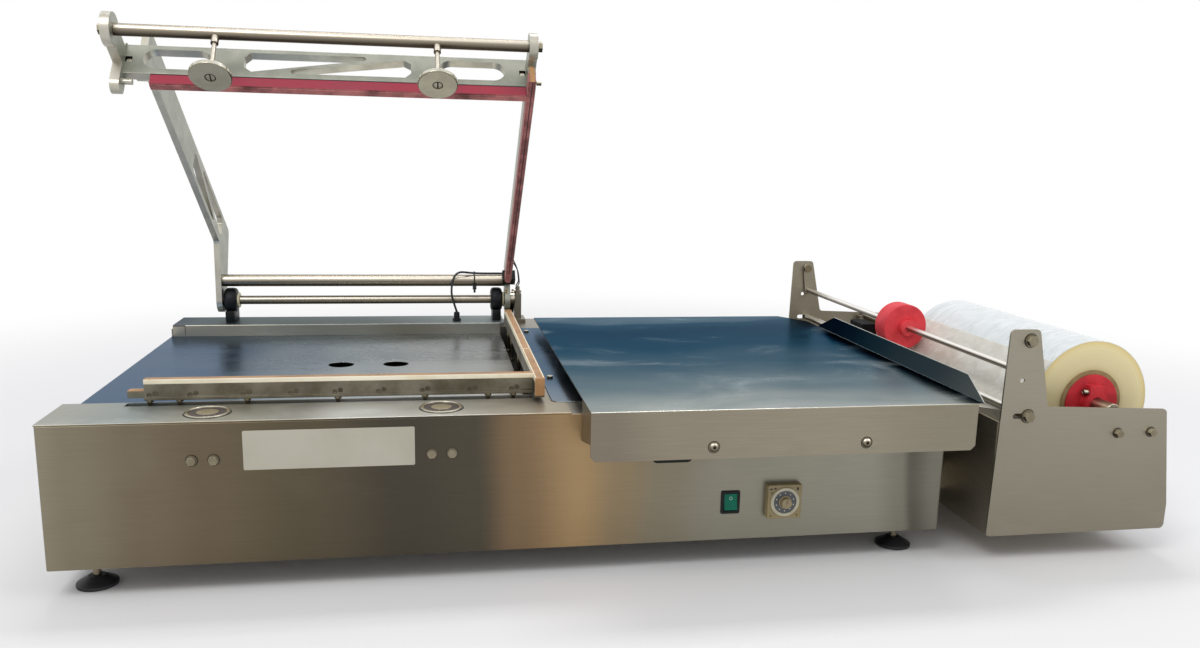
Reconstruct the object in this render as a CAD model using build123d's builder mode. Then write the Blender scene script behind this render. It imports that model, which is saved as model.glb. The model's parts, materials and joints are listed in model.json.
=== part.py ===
from build123d import *
import math
import os

# An L bar sealer: a stainless cabinet with a lower L-shaped seal bar, a cast head that
# swings down on it from a rear hinge, a product tray, and a film cradle at the right.
#
# Every place is given as x from the cabinet's left side, y back from its front panel and
# z up from the top of its deck. The function at() turns it into the model's own frame,
# whose origin is the centre of the footprint, on the floor, with +Z up.
# All lengths are in millimetres.

# ---- cabinet -----------------------------------------------------------------
cabinet_length = 1163.0
cabinet_depth = 712.0
cabinet_height = 183.0
sheet = 2.0
foot_height = 42.0
foot_inset_x = 40.0
foot_inset_y = 52.0
pad_diameter = 50.0
stud_diameter = 10.0

strip_depth = 97.0
strip_length = 638.0
strip_notch_x = 616.0
strip_notch_y = 54.0
bar_cut_left = 78.0
bar_cut_right = 600.0
bar_cut_front = 78.0

recess_drop = 16.0
recess_right = 590.0
recess_rear_set = 82.0
recess_rear = cabinet_depth - recess_rear_set
finger_hole_diameter = 40.0
finger_holes_x = (318.0, 404.0)
finger_holes_y = 376.0

rail_left = 3.0
rail_right = 598.0
rail_rise = 5.0

trench_right = 613.0
trench_drop = 45.0

transfer_left = 620.0
transfer_width = 60.0
transfer_front = 56.0
transfer_rear_set = 112.0
transfer_rear = cabinet_depth - transfer_rear_set
transfer_chamfer = 9.0
transfer_thickness = 1.5
transfer_screw_inset = 13.0
transfer_screw_front = 196.0
transfer_screw_set = 40.0
transfer_screws_y = (transfer_screw_front, transfer_rear - transfer_screw_set)

# ---- front panel -------------------------------------------------------------
name_plate_centre = (336.5, -38.0)
name_plate_size = (206.0, 50.0)
name_plate_thickness = 1.0
rocker_centre_set = 307.5
rocker_centre = (cabinet_length - rocker_centre_set, -130.0)
rocker_bezel_size = (26.5, 32.5)
rocker_opening = (18.5, 24.5)
rocker_bezel_rise = 2.0
rocker_body_depth = 22.0
rocker_tilt = 9.0
timer_centre_set = 234.5
timer_centre = (cabinet_length - timer_centre_set, -128.6)
timer_size = 48.0
timer_rise = 11.0
timer_body_depth = 60.0
timer_ring_diameter = 40.0
timer_ring_rise = 2.0
timer_knob_diameter = 14.0
timer_knob_height = 8.0
isolator_centre_set = 391.0
isolator_centre = (cabinet_length - isolator_centre_set, -43.4)
isolator_size = 54.0
isolator_rise = 8.0
isolator_body_depth = 40.0
isolator_grip_length = 46.0
isolator_grip_width = 14.0
isolator_grip_height = 12.0
isolator_grip_angle = -45.0

# ---- electromagnets ----------------------------------------------------------
magnets_x = (186.5, 473.0)
magnet_y = 38.5
magnet_diameter = 54.5
magnet_wall = 4.5
magnet_core_diameter = 27.0
magnet_depth = 36.0
magnet_rise = 1.5
magnet_bolt_spacing = 25.5
magnet_bolt_drop = 49.0
magnet_bolt_diameter = 6.0
magnet_floor = 5.0
bracket_sheet = 3.0
bracket_half_width = 28.0

# ---- lower seal bars ---------------------------------------------------------
seal_level = 32.0
bar_width = 13.0
bar_bottom = 5.0
pad_height = 6.0
front_bar_y = 88.0
front_bar_left = 100.0
front_bar_tongue = 20.0
side_bar_x = 603.0
side_bar_front = 60.5
side_bar_rear_set = 12.0
side_bar_rear = recess_rear - side_bar_rear_set
bar_stud_diameter = 5.0
front_studs_x = (106.0, 142.0, 225.0, 339.0, 452.0, 536.0, 570.0)
side_stud_sets = (98.0, 18.0)
side_front_studs_y = (120.0, 240.0, 380.0)
side_studs_y = (*side_front_studs_y, *(side_bar_rear - back for back in side_stud_sets))

# ---- rear hinge --------------------------------------------------------------
hinge_y_set = 35.5
hinge_y = cabinet_depth - hinge_y_set
hinge_z = 43.0
open_angle = 38.8
shaft_diameter = 16.0
running_clearance = 0.05
bush_diameter = 24.0
bush_flange_diameter = 28.0
bush_flange = 4.0
pedestal_width = 22.0
pedestal_head = 46.0
pedestal_foot = 56.0
left_pedestal_x = 97.0
right_pedestal_x = 585.0
post_x = 627.0
post_size = 12.0
post_height = 50.0
stop_lever_width = 8.0
stop_bolt_diameter = 8.0
cross_tube_set = 3.5
cable_diameter = 4.0
gland_x = 509.0
gland_y_set = 19.5
gland_y = hinge_y - gland_y_set
gland_thread_diameter = 12.0

# ---- head (drawn closed, then lifted by open_angle) --------------------------
arm_thickness = 10.0
left_arm_x = 79.0
right_arm_x = 606.0
arm_eye_radius = 22.0
# The arms' outlines and windows, as places back from and above the hinge.
left_arm_lower = ((-564.5, 15.0), (-526.5, 49.0), (-84.5, 74.5))
left_arm_upper = ((-21.5, 139.0), (-446.5, 109.0))
left_arm_front = (13.0, 99.0)
left_arm_window = ((-292.5, 72.0), (-299.5, 79.0), (-299.5, 102.0), (-291.5, 108.0),
                   (-138.5, 86.0), (-135.5, 83.0), (-138.5, 80.0))
left_arm_rear_window = ((-235.5, 110.0), (-238.5, 113.0), (-235.5, 116.0), (-82.5, 127.0),
                        (-74.5, 120.0), (-74.5, 96.0), (-82.5, 88.5))
arm_window_corner = 2.0
right_arm_notch = (-61.5, -36.5, 30.0)
right_arm_heel = -26.5
beam_left = 62.0
beam_bottom = 50.0
beam_top = 101.0
beam_slots = ((128.5, 87.0), (522.0, 92.0))
beam_slot_height = 34.0
beam_window = ((224.0, 60.0), (214.0, 68.0), (214.0, 85.0), (222.0, 94.0), (373.0, 94.0),
               (376.0, 90.5), (373.0, 87.0))
beam_right_window = ((278.0, 59.0), (275.0, 62.5), (278.0, 66.0), (427.0, 90.0), (437.0, 84.0),
                     (437.0, 67.0), (429.0, 59.0))
band_thickness = 1.7
beam_screws_x = (67.0, 593.0)
closed_gap = 0.3
cross_tube_diameter = 22.0
cross_tube_rise = 37.0
handle_diameter = 16.0
handle_z = 78.0
bracket_thickness = 12.0
bracket_ear_radius = 22.0
rod_diameter = 6.0
rod_boss_diameter = 10.0
disc_diameter = 53.0
disc_thickness = 7.0
disc_screw_diameter = 12.0
upper_side_trims = (0.5, 1.5)
upper_side_rear_set = 21.0
upper_side_rear = side_bar_rear - upper_side_rear_set
terminal_front = 59.5
terminal_depth = 20.0
terminal_height = 22.0
terminal_length = 24.0

# ---- product tray ------------------------------------------------------------
tray_left = 651.0
tray_right_set = 7.0
tray_right = cabinet_length + tray_right_set
apron_right_set = -0.5
apron_right = cabinet_length + apron_right_set
tray_overhang = 72.0
tray_rear_set = 112.0
tray_rear = cabinet_depth - tray_rear_set
flange_rear_set = 110.0
flange_rear = tray_rear - flange_rear_set
runner_rear_set = 40.0
runner_rear = tray_rear - runner_rear_set
rail_rear_set = 10.0
rail_rear = tray_rear - rail_rear_set
rail_start = 20.0
tray_top = 19.0
tray_sheet = 2.0
apron_bottom = -44.0
flange_width = 27.0
flange_lean = 30.0
flange_cut = 42.0
flange_front_cut = 66.0
tray_corner_x = 38.0
tray_corner_y = 60.0
cheek_bottom_rear = -38.0
cheek_bottom_front = -22.0
tray_screw_left_set = 156.0
tray_screw_right_set = 153.0
tray_screws_x = (tray_left + tray_screw_left_set, cabinet_length - tray_screw_right_set)
tray_screw_z = -29.0

# ---- film cradle -------------------------------------------------------------
cradle_front_y = -34.0
cradle_rear_y_set = 56.0
cradle_rear_y = cabinet_depth + cradle_rear_y_set
cradle_sheet = 3.0
cradle_gap = 53.0
cradle_left = cabinet_length + cradle_gap
cradle_right_set = 278.0
cradle_right = cradle_left + cradle_right_set
ear_left_set = 7.0
ear_left = cradle_left + ear_left_set
ear_right_set = 50.0
ear_right = cradle_left + ear_right_set
ear_foot_set = 73.0
ear_foot = cradle_left + ear_foot_set
ear_top = 109.0
plate_shoulder = 0.0
side_panel_top = -19.0
top_bolt_set = 37.0
top_bolt = (cradle_left + top_bolt_set, 94.0)
ear_hole_set = 31.0
ear_hole = (cradle_left + ear_hole_set, 38.5)
guide_bolt_set = 44.0
guide_bolt = (cradle_left + guide_bolt_set, -11.0)
slot_length = 30.0
bracket_bolt_sets = (185.0, 237.0)
bracket_bolts_x = tuple(cradle_left + along for along in bracket_bolt_sets)
bracket_bolts_z = -38.5
bolt_diameter = 8.0
link_length = 47.5
link_set = 6.0
link_width = 18.0
link_thickness = 4.0
dancer_diameter = 10.0
guide_rod_diameter = 12.0
collar_front_y = 325.0
collar_thickness = 36.0
collar_diameter = 77.0
collar_flat = 33.0
collar_turn = 18.0
roll_x_set = 177.0
roll_x = cradle_left + roll_x_set
roll_z = -8.0
roll_radius = 90.0
roll_front_y = 19.5
roll_length = 376.0
core_radius = 47.0
core_wall = 6.0
roll_shaft_diameter = 20.0
hub_length = 30.0
hub_boss = 12.0
hub_boss_diameter = 36.0
hub_clamp = (-13.0, 9.0, 6.0, 27.0)
web_thickness = 0.5
film_gap = 0.4
perforator_wheel_y = 400.0
perforator_wheel_diameter = 44.0
perforator_wheel_width = 8.0
perforator_block_y = 412.0
perforator_block_size = (28.0, 52.0, 80.0)
perforator_block_top = 36.0

# ---- worked-out places -------------------------------------------------------
floor_level = -cabinet_height - foot_height
plate_top_z = -recess_drop
screw_head_rise = 3.0
washer = 1.5
bolt_head = 5.5
front_reach = tray_overhang + screw_head_rise
rear_reach = cradle_rear_y + washer + bolt_head
centre_x = cradle_right / 2
centre_y = (rear_reach - front_reach) / 2

os.makedirs("parts", exist_ok=True)


def at(x, y, z):
    """The point x, y, z of the cabinet, in the model's own frame."""
    return (x - centre_x, y - centre_y, z - floor_level)


def facing_up(x, y, z):
    """A plane through a point, with its normal up and its x axis to the right."""
    return Plane(at(x, y, z), x_dir=(1, 0, 0), z_dir=(0, 0, 1))


def facing_front(x, y, z):
    """A plane through a point, with its normal to the front and its y axis up."""
    return Plane(at(x, y, z), x_dir=(1, 0, 0), z_dir=(0, -1, 0))


def facing_back(x, y, z):
    """A plane through a point, with its normal to the back and its x axis to the left."""
    return Plane(at(x, y, z), x_dir=(-1, 0, 0), z_dir=(0, 1, 0))


def facing_right(x, y, z):
    """A plane through a point, normal to the right, x axis back and y axis up."""
    return Plane(at(x, y, z), x_dir=(0, 1, 0), z_dir=(1, 0, 0))


def box(x0, x1, y0, y1, z0, z1, mode=Mode.ADD):
    """A box between two corners, inside the BuildPart block that is open."""
    with BuildSketch(facing_up((x0 + x1) / 2, (y0 + y1) / 2, z0)) as outline:
        Rectangle(x1 - x0, y1 - y0)
    extrude(outline.sketch, amount=z1 - z0, mode=mode)


def cylinder(plane, diameter, length, mode=Mode.ADD):
    """A round bar or bore that starts on a plane and runs along its normal."""
    with BuildSketch(plane) as outline:
        Circle(diameter / 2)
    extrude(outline.sketch, amount=length, mode=mode)


def hexagon(plane, across_flats, length):
    """A hexagonal bolt head or nut that starts on a plane."""
    with BuildSketch(plane) as outline:
        RegularPolygon(across_flats / 2, 6, major_radius=False)
    extrude(outline.sketch, amount=length)


def slab(plane, corners, radius, thickness, mode=Mode.ADD):
    """A flat plate, or a window through one, with the given corners all rounded alike."""
    with BuildSketch(plane) as outline:
        with BuildLine():
            Polyline(*corners, close=True)
        make_face()
        if radius > 0:
            fillet(outline.vertices(), radius)
    extrude(outline.sketch, amount=thickness, mode=mode)


def save(part, name):
    """Label a finished piece and write its STEP file."""
    part.label = name
    export_step(part, f"parts/{name}.step")


hinge_axis = Axis(at(0, hinge_y, hinge_z), (1, 0, 0))


def lifted(part):
    """A piece of the head, drawn closed, turned up about the hinge to the open place."""
    return part.rotate(hinge_axis, -open_angle)


# ---- cabinet pieces ----------------------------------------------------------
deck_underside = -2 * sheet
outer_bend = 4.0
front_leg_rear = 95.0
channel_left = bar_cut_left - sheet
channel_rear = recess_rear + sheet
magnet_hole_diameter = magnet_diameter + 0.6
rail_front = recess_rear - sheet
foot_places = [(x, y) for x in (foot_inset_x, cabinet_length - foot_inset_x)
               for y in (foot_inset_y, cabinet_depth - foot_inset_y)]

with BuildPart() as cabinet:
    with BuildSketch(facing_up(cabinet_length / 2, cabinet_depth / 2, -cabinet_height)):
        RectangleRounded(cabinet_length, cabinet_depth, outer_bend)
    extrude(amount=cabinet_height - sheet)
    fillet(cabinet.edges().group_by(Axis.Z)[-1], 1.5)
    with BuildSketch(facing_up(cabinet_length / 2, cabinet_depth / 2, -cabinet_height)):
        RectangleRounded(cabinet_length - 2 * sheet, cabinet_depth - 2 * sheet, outer_bend - sheet)
    extrude(amount=cabinet_height - 2 * sheet, mode=Mode.SUBTRACT)
    with BuildSketch(facing_up(cabinet_length / 2, cabinet_depth / 2, -cabinet_height)):
        RectangleRounded(cabinet_length, cabinet_depth, outer_bend)
    extrude(amount=sheet)
    with BuildSketch(facing_up(0, 0, -cabinet_height)):
        with Locations(foot_places):
            Circle(stud_diameter / 2 + 0.5)
    extrude(amount=sheet, mode=Mode.SUBTRACT)
    box(-1, trench_right, front_leg_rear, recess_rear, plate_top_z - sheet, 0, Mode.SUBTRACT)
    box(bar_cut_left, trench_right, bar_cut_front, front_leg_rear, deck_underside, 0, Mode.SUBTRACT)
    with BuildSketch(facing_up(0, 0, deck_underside)):
        with Locations([(x, magnet_y) for x in magnets_x]):
            Circle(magnet_hole_diameter / 2)
    extrude(amount=sheet, mode=Mode.SUBTRACT)
    with BuildSketch(facing_front(0, sheet, 0)):
        with Locations([(x + side * magnet_bolt_spacing / 2, -magnet_bolt_drop)
                        for x in magnets_x for side in (-1, 1)]):
            Circle(magnet_bolt_diameter / 2 + 0.3)
        with Locations(rocker_centre):
            Rectangle(rocker_opening[0] + 4.4, rocker_opening[1] + 4.4)
        with Locations(timer_centre):
            Rectangle(timer_size - 3, timer_size - 3)
        with Locations(isolator_centre):
            Circle(isolator_size / 2 - 7)
    extrude(amount=sheet, mode=Mode.SUBTRACT)
    with BuildSketch(facing_up(gland_x, gland_y, deck_underside)):
        Circle(gland_thread_diameter / 2 + 0.3)
    extrude(amount=sheet, mode=Mode.SUBTRACT)
save(cabinet.part, "cabinet")

with BuildPart() as front_strip:
    with BuildSketch(facing_up(0, 0, -sheet)):
        with BuildLine():
            Polyline((0, 0), (strip_length, 0), (strip_length, strip_notch_y - 4),
                     (strip_notch_x + 6, strip_notch_y), (strip_notch_x, strip_notch_y + 6),
                     (strip_notch_x, strip_depth), (0, strip_depth), close=True)
        make_face()
        with Locations([(x, magnet_y) for x in magnets_x]):
            Circle(magnet_hole_diameter / 2, mode=Mode.SUBTRACT)
    extrude(amount=sheet)
    box(bar_cut_left, bar_cut_right, bar_cut_front, front_leg_rear, -sheet, 0, Mode.SUBTRACT)
    box(0, bar_cut_right - 10, front_leg_rear, strip_depth, plate_top_z, -sheet)
    fillet(front_strip.edges().group_by(Axis.Z)[-1].sort_by(Axis.Y)[0], 1.5)
save(front_strip.part, "front_strip")

with BuildPart() as recess_plate:
    box(0, recess_right, front_leg_rear, recess_rear, plate_top_z - sheet, plate_top_z)
    with BuildSketch(facing_up(0, finger_holes_y, plate_top_z - sheet)):
        with Locations([(x, 0) for x in finger_holes_x]):
            Circle(finger_hole_diameter / 2)
    extrude(amount=sheet, mode=Mode.SUBTRACT)
save(recess_plate.part, "recess_plate")

with BuildPart() as bar_channel:
    with BuildSketch(facing_up(0, 0, -trench_drop - sheet)):
        with BuildLine():
            Polyline((channel_left, bar_cut_front - sheet), (trench_right + sheet, bar_cut_front - sheet),
                     (trench_right + sheet, channel_rear), (recess_right - sheet, channel_rear),
                     (recess_right - sheet, strip_depth), (channel_left, strip_depth), close=True)
        make_face()
    extrude(amount=trench_drop + sheet + deck_underside)
    with BuildSketch(facing_up(0, 0, -trench_drop)):
        with BuildLine():
            Polyline((bar_cut_left, bar_cut_front), (trench_right, bar_cut_front),
                     (trench_right, recess_rear), (recess_right, recess_rear),
                     (recess_right, front_leg_rear), (bar_cut_left, front_leg_rear), close=True)
        make_face()
    extrude(amount=trench_drop, mode=Mode.SUBTRACT)
    box(bar_cut_left - 1, recess_right, front_leg_rear, recess_rear, plate_top_z - sheet,
        deck_underside, Mode.SUBTRACT)
    box(channel_left - 1, bar_cut_left, front_leg_rear, strip_depth + 1, plate_top_z - sheet,
        deck_underside, Mode.SUBTRACT)
save(bar_channel.part, "bar_channel")

with BuildPart() as rear_rail:
    box(rail_left, rail_right, recess_rear, cabinet_depth - sheet, -sheet, rail_rise)
    box(rail_left, recess_right, rail_front, recess_rear, plate_top_z, rail_rise)
    fillet(rear_rail.edges().filter_by(Axis.X).group_by(Axis.Z)[-1].sort_by(Axis.Y)[0], 2)
    with BuildSketch(facing_up(gland_x, gland_y, -sheet)):
        Circle(gland_thread_diameter / 2)
    extrude(amount=sheet + rail_rise, mode=Mode.SUBTRACT)
save(rear_rail.part, "rear_rail")

with BuildPart() as transfer_plate:
    with BuildSketch(facing_up(0, 0, -sheet)):
        with BuildLine():
            Polyline((transfer_left, transfer_front + transfer_chamfer),
                     (transfer_left + transfer_chamfer, transfer_front),
                     (transfer_left + transfer_width, transfer_front),
                     (transfer_left + transfer_width, transfer_rear),
                     (transfer_left, transfer_rear), close=True)
        make_face()
    extrude(amount=transfer_thickness)
save(transfer_plate.part, "transfer_plate")

with BuildPart() as foot_pads:
    for x, y in foot_places:
        with BuildSketch(Plane(at(x, y, floor_level), x_dir=(1, 0, 0), z_dir=(0, -1, 0))):
            with BuildLine():
                Polyline((0, 0), (pad_diameter / 2, 0), (pad_diameter / 2, 4),
                         (stud_diameter, 13), (0, 13), close=True)
            make_face()
        revolve(axis=Axis(at(x, y, floor_level), (0, 0, 1)))
save(foot_pads.part, "foot_pads")

with BuildPart() as foot_studs:
    for x, y in foot_places:
        cylinder(facing_up(x, y, floor_level + 13), stud_diameter, 50)
        hexagon(facing_up(x, y, -cabinet_height - 8), 17, 8)
        hexagon(facing_up(x, y, -cabinet_height + sheet), 17, 8)
save(foot_studs.part, "foot_studs")

# ---- electromagnets ----------------------------------------------------------
magnet_bottom = magnet_rise - magnet_depth
coil_diameter = magnet_diameter - 2 * magnet_wall

with BuildPart() as magnet_pots:
    for x in magnets_x:
        cylinder(facing_up(x, magnet_y, magnet_bottom), magnet_diameter, magnet_depth)
        cylinder(facing_up(x, magnet_y, magnet_bottom + magnet_floor), coil_diameter,
                 magnet_depth, Mode.SUBTRACT)
        cylinder(facing_up(x, magnet_y, magnet_bottom + magnet_floor), magnet_core_diameter,
                 magnet_depth - magnet_floor)
        box(x - bracket_half_width, x + bracket_half_width, sheet, magnet_y + 24,
            magnet_bottom - bracket_sheet, magnet_bottom)
        box(x - bracket_half_width, x + bracket_half_width, sheet, sheet + bracket_sheet,
            -magnet_bolt_drop - 12, magnet_bottom - bracket_sheet)
        for side in (-1, 1):
            cylinder(facing_back(x + side * magnet_bolt_spacing / 2, sheet, -magnet_bolt_drop),
                     magnet_bolt_diameter + 0.6, bracket_sheet, Mode.SUBTRACT)
save(magnet_pots.part, "magnet_pots")

with BuildPart() as magnet_coils:
    for x in magnets_x:
        cylinder(facing_up(x, magnet_y, magnet_bottom + magnet_floor), coil_diameter,
                 magnet_depth - magnet_floor - 0.8)
    for x in magnets_x:
        cylinder(facing_up(x, magnet_y, magnet_bottom + magnet_floor), magnet_core_diameter,
                 magnet_depth, Mode.SUBTRACT)
save(magnet_coils.part, "magnet_coils")

with BuildPart() as cabinet_bolts:
    for x in magnets_x:
        for side in (-1, 1):
            bolt_x = x + side * magnet_bolt_spacing / 2
            cylinder(facing_front(bolt_x, 0, -magnet_bolt_drop), 13, washer)
            hexagon(facing_front(bolt_x, -washer, -magnet_bolt_drop), 10, 4)
            cylinder(facing_back(bolt_x, 0, -magnet_bolt_drop), magnet_bolt_diameter, 14)
            hexagon(facing_back(bolt_x, sheet + bracket_sheet, -magnet_bolt_drop), 10, 5)
    for y in transfer_screws_y:
        cylinder(facing_up(transfer_left + transfer_screw_inset, y, transfer_thickness - sheet), 9,
                 screw_head_rise)
save(cabinet_bolts.part, "cabinet_bolts")

# ---- name plate and controls -------------------------------------------------
with BuildPart() as name_plate:
    with BuildSketch(facing_front(name_plate_centre[0], 0, name_plate_centre[1])):
        RectangleRounded(*name_plate_size, 2)
    extrude(amount=name_plate_thickness)
save(name_plate.part, "name_plate")

rocker_pivot_y = 3.0
rocker_pin_diameter = 3.0
rocker_half_width = rocker_opening[0] / 2
rocker_half_height = rocker_opening[1] / 2
rocker_x, rocker_z = rocker_centre

with BuildPart() as rocker_housing:
    with BuildSketch(facing_front(rocker_x, 0, rocker_z)):
        RectangleRounded(*rocker_bezel_size, 2.5)
    extrude(amount=rocker_bezel_rise)
    chamfer(rocker_housing.edges().group_by(Axis.Y)[0], 0.8)
    box(rocker_x - rocker_half_width - 2, rocker_x + rocker_half_width + 2, 0, rocker_body_depth,
        rocker_z - rocker_half_height - 2, rocker_z + rocker_half_height + 2)
    box(rocker_x - rocker_half_width, rocker_x + rocker_half_width, -rocker_bezel_rise - 1,
        rocker_body_depth - 2, rocker_z - rocker_half_height, rocker_z + rocker_half_height,
        Mode.SUBTRACT)
    cylinder(facing_right(rocker_x - rocker_half_width - 1.5, rocker_pivot_y, rocker_z),
             rocker_pin_diameter + 2 * running_clearance, 2 * rocker_half_width + 3, Mode.SUBTRACT)
save(rocker_housing.part, "rocker_housing")

with BuildPart() as rocker:
    slab(facing_right(rocker_x - rocker_half_width + 0.4, 0, rocker_z),
         [(-2, 0), (-3.7, 11), (4, 10), (8, 3), (8, -3), (4, -10), (-3.7, -11)], 0,
         2 * rocker_half_width - 0.8)
    cylinder(facing_right(rocker_x - rocker_half_width - 1.4, rocker_pivot_y, rocker_z),
             rocker_pin_diameter, 2 * rocker_half_width + 2.8)
rocker_axis = Axis(at(0, rocker_pivot_y, rocker_z), (1, 0, 0))
save(rocker.part.rotate(rocker_axis, -rocker_tilt), "rocker")

timer_x, timer_z = timer_centre
timer_spindle_diameter = 4.0
knob_gap = 0.3
timer_face = timer_rise + 1.0

with BuildPart() as timer_body:
    with BuildSketch(facing_front(timer_x, 0, timer_z)):
        RectangleRounded(timer_size, timer_size, 2)
    extrude(amount=timer_rise)
    chamfer(timer_body.edges().group_by(Axis.Y)[0], 1)
    with BuildSketch(facing_back(timer_x, 0, timer_z)):
        Rectangle(timer_size - 3.6, timer_size - 3.6)
    extrude(amount=timer_body_depth)
    cylinder(facing_front(timer_x, -timer_rise, timer_z), timer_ring_diameter, timer_ring_rise)
    cylinder(facing_front(timer_x, -timer_face, timer_z), timer_ring_diameter - 8, timer_ring_rise,
             Mode.SUBTRACT)
    cylinder(facing_front(timer_x, -4, timer_z), timer_spindle_diameter + 2 * running_clearance,
             timer_rise, Mode.SUBTRACT)
save(timer_body.part, "timer_body")

with BuildPart() as timer_knob:
    cylinder(facing_front(timer_x, -timer_face - knob_gap, timer_z), timer_knob_diameter,
             timer_knob_height)
    fillet(timer_knob.edges().group_by(Axis.Y)[0], 1)
    box(timer_x - 0.8, timer_x + 0.8, -timer_face - timer_knob_height - 1,
        -timer_face - timer_knob_height + 0.6, timer_z, timer_z + timer_knob_diameter,
        Mode.SUBTRACT)
    cylinder(facing_back(timer_x, -timer_face - knob_gap, timer_z), timer_spindle_diameter, 7)
save(timer_knob.part, "timer_knob")

isolator_x, isolator_z = isolator_centre
isolator_spindle_diameter = 8.0

with BuildPart() as isolator_base:
    with BuildSketch(facing_front(isolator_x, 0, isolator_z)):
        RectangleRounded(isolator_size, isolator_size, 7)
    extrude(amount=isolator_rise - 3)
    cylinder(facing_front(isolator_x, 0, isolator_z), isolator_grip_length, isolator_rise)
    cylinder(facing_back(isolator_x, 0, isolator_z), isolator_size - 14.6, isolator_body_depth)
    cylinder(facing_front(isolator_x, 8, isolator_z),
             isolator_spindle_diameter + 2 * running_clearance, 20, Mode.SUBTRACT)
save(isolator_base.part, "isolator_base")

with BuildPart() as isolator_grip:
    with BuildSketch(facing_front(isolator_x, -isolator_rise - knob_gap, isolator_z)):
        SlotOverall(isolator_grip_length, isolator_grip_width, rotation=isolator_grip_angle)
    extrude(amount=isolator_grip_height)
    fillet(isolator_grip.edges().group_by(Axis.Y)[0], 2.5)
    cylinder(facing_front(isolator_x, -isolator_rise - knob_gap, isolator_z), 34, 3)
    cylinder(facing_back(isolator_x, -isolator_rise - knob_gap, isolator_z),
             isolator_spindle_diameter, 14)
save(isolator_grip.part, "isolator_grip")

# ---- lower seal bars ---------------------------------------------------------
pad_bottom = seal_level - pad_height
front_bar_rear = front_bar_y + bar_width
side_bar_left = side_bar_x - bar_width / 2
side_bar_right = side_bar_x + bar_width / 2
front_stud_y = front_bar_y + bar_stud_diameter / 2

with BuildPart() as front_seal_bar:
    box(front_bar_left, side_bar_left, front_bar_y, front_bar_rear, bar_bottom, pad_bottom)
    box(front_bar_left, side_bar_left, front_bar_y - 2.5, front_bar_y, bar_bottom, bar_bottom + 4)
    box(front_bar_left - front_bar_tongue, front_bar_left, front_bar_y, front_bar_rear,
        bar_bottom + 3, bar_bottom + 12)
save(front_seal_bar.part, "front_seal_bar")

with BuildPart() as side_seal_bar:
    box(side_bar_left, side_bar_right, side_bar_front, side_bar_rear, bar_bottom, pad_bottom)
save(side_seal_bar.part, "side_seal_bar")

with BuildPart() as seal_pads:
    box(front_bar_left, side_bar_left, front_bar_y, front_bar_rear, pad_bottom, seal_level)
    box(side_bar_left, side_bar_right, side_bar_front - 2, side_bar_rear, pad_bottom, seal_level)
    box(side_bar_left, side_bar_right, side_bar_front - 2, side_bar_front, bar_bottom + 3,
        pad_bottom)
    fillet(seal_pads.edges().filter_by(Axis.X).group_by(Axis.Z)[-1], 1.5)
save(seal_pads.part, "seal_pads")

with BuildPart() as bar_studs:
    for x, y in [(x, front_stud_y) for x in front_studs_x] + [(side_bar_x, y) for y in side_studs_y]:
        cylinder(facing_up(x, y, -trench_drop), bar_stud_diameter, trench_drop + bar_bottom)
        hexagon(facing_up(x, y, bar_bottom - 3), 8, 3)
        hexagon(facing_up(x, y, -trench_drop), 8, 4)
save(bar_studs.part, "bar_studs")

# ---- rear hinge --------------------------------------------------------------
shaft_left = left_arm_x - arm_thickness / 2
right_arm_outer = right_arm_x + arm_thickness / 2
post_left = post_x - post_size / 2
post_right = post_x + post_size / 2
bush_bore = shaft_diameter + 2 * running_clearance

with BuildPart() as pedestals:
    for x in (left_pedestal_x, right_pedestal_x):
        slab(facing_right(x - pedestal_width / 2, hinge_y, rail_rise),
             [(-pedestal_foot / 2, 0), (pedestal_foot / 2, 0), (pedestal_foot / 2, 6),
              (pedestal_head / 2 - 1, 30), (-pedestal_head / 2 + 1, 30), (-pedestal_foot / 2, 6)],
             2, pedestal_width)
        cylinder(facing_right(x - pedestal_width / 2, hinge_y, hinge_z), pedestal_head,
                 pedestal_width)
        cylinder(facing_right(x - pedestal_width / 2, hinge_y, hinge_z), bush_diameter,
                 pedestal_width, Mode.SUBTRACT)
save(pedestals.part, "pedestals")

with BuildPart() as bushes:
    for x in (left_pedestal_x, right_pedestal_x):
        start = x - pedestal_width / 2
        cylinder(facing_right(start, hinge_y, hinge_z), bush_diameter, pedestal_width)
        cylinder(facing_right(start + pedestal_width, hinge_y, hinge_z), bush_flange_diameter,
                 bush_flange)
        cylinder(facing_right(start, hinge_y, hinge_z), bush_bore, pedestal_width + bush_flange,
                 Mode.SUBTRACT)
save(bushes.part, "bushes")

with BuildPart() as hinge_shaft:
    cylinder(facing_right(shaft_left, hinge_y, hinge_z), shaft_diameter, post_right - shaft_left)
save(hinge_shaft.part, "hinge_shaft")

with BuildPart() as stop_post:
    box(post_left - 9, post_right + 8, hinge_y - 17, hinge_y + 31, -sheet, sheet + 4)
    box(post_left, post_right, hinge_y - post_size, hinge_y + post_size, sheet + 4,
        rail_rise + post_height)
    cylinder(facing_right(post_left, hinge_y, hinge_z), bush_bore, post_size, Mode.SUBTRACT)
    hexagon(facing_up(post_x, hinge_y, rail_rise + post_height), 12, 5)
    cylinder(facing_up(post_x, hinge_y, rail_rise + post_height), stop_bolt_diameter, 13)
save(stop_post.part, "stop_post")

with BuildPart() as stop_collar:
    start = post_left - 1 - stop_lever_width
    slab(facing_right(start, hinge_y, hinge_z),
         [(-6, -12), (12, 2), (24, -20), (24, -36), (14, -36)], 1, stop_lever_width)
    cylinder(facing_right(start, hinge_y, hinge_z), shaft_diameter + 12, stop_lever_width)
    cylinder(facing_right(start, hinge_y, hinge_z), shaft_diameter, stop_lever_width,
             Mode.SUBTRACT)
save(stop_collar.part, "stop_collar")

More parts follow.
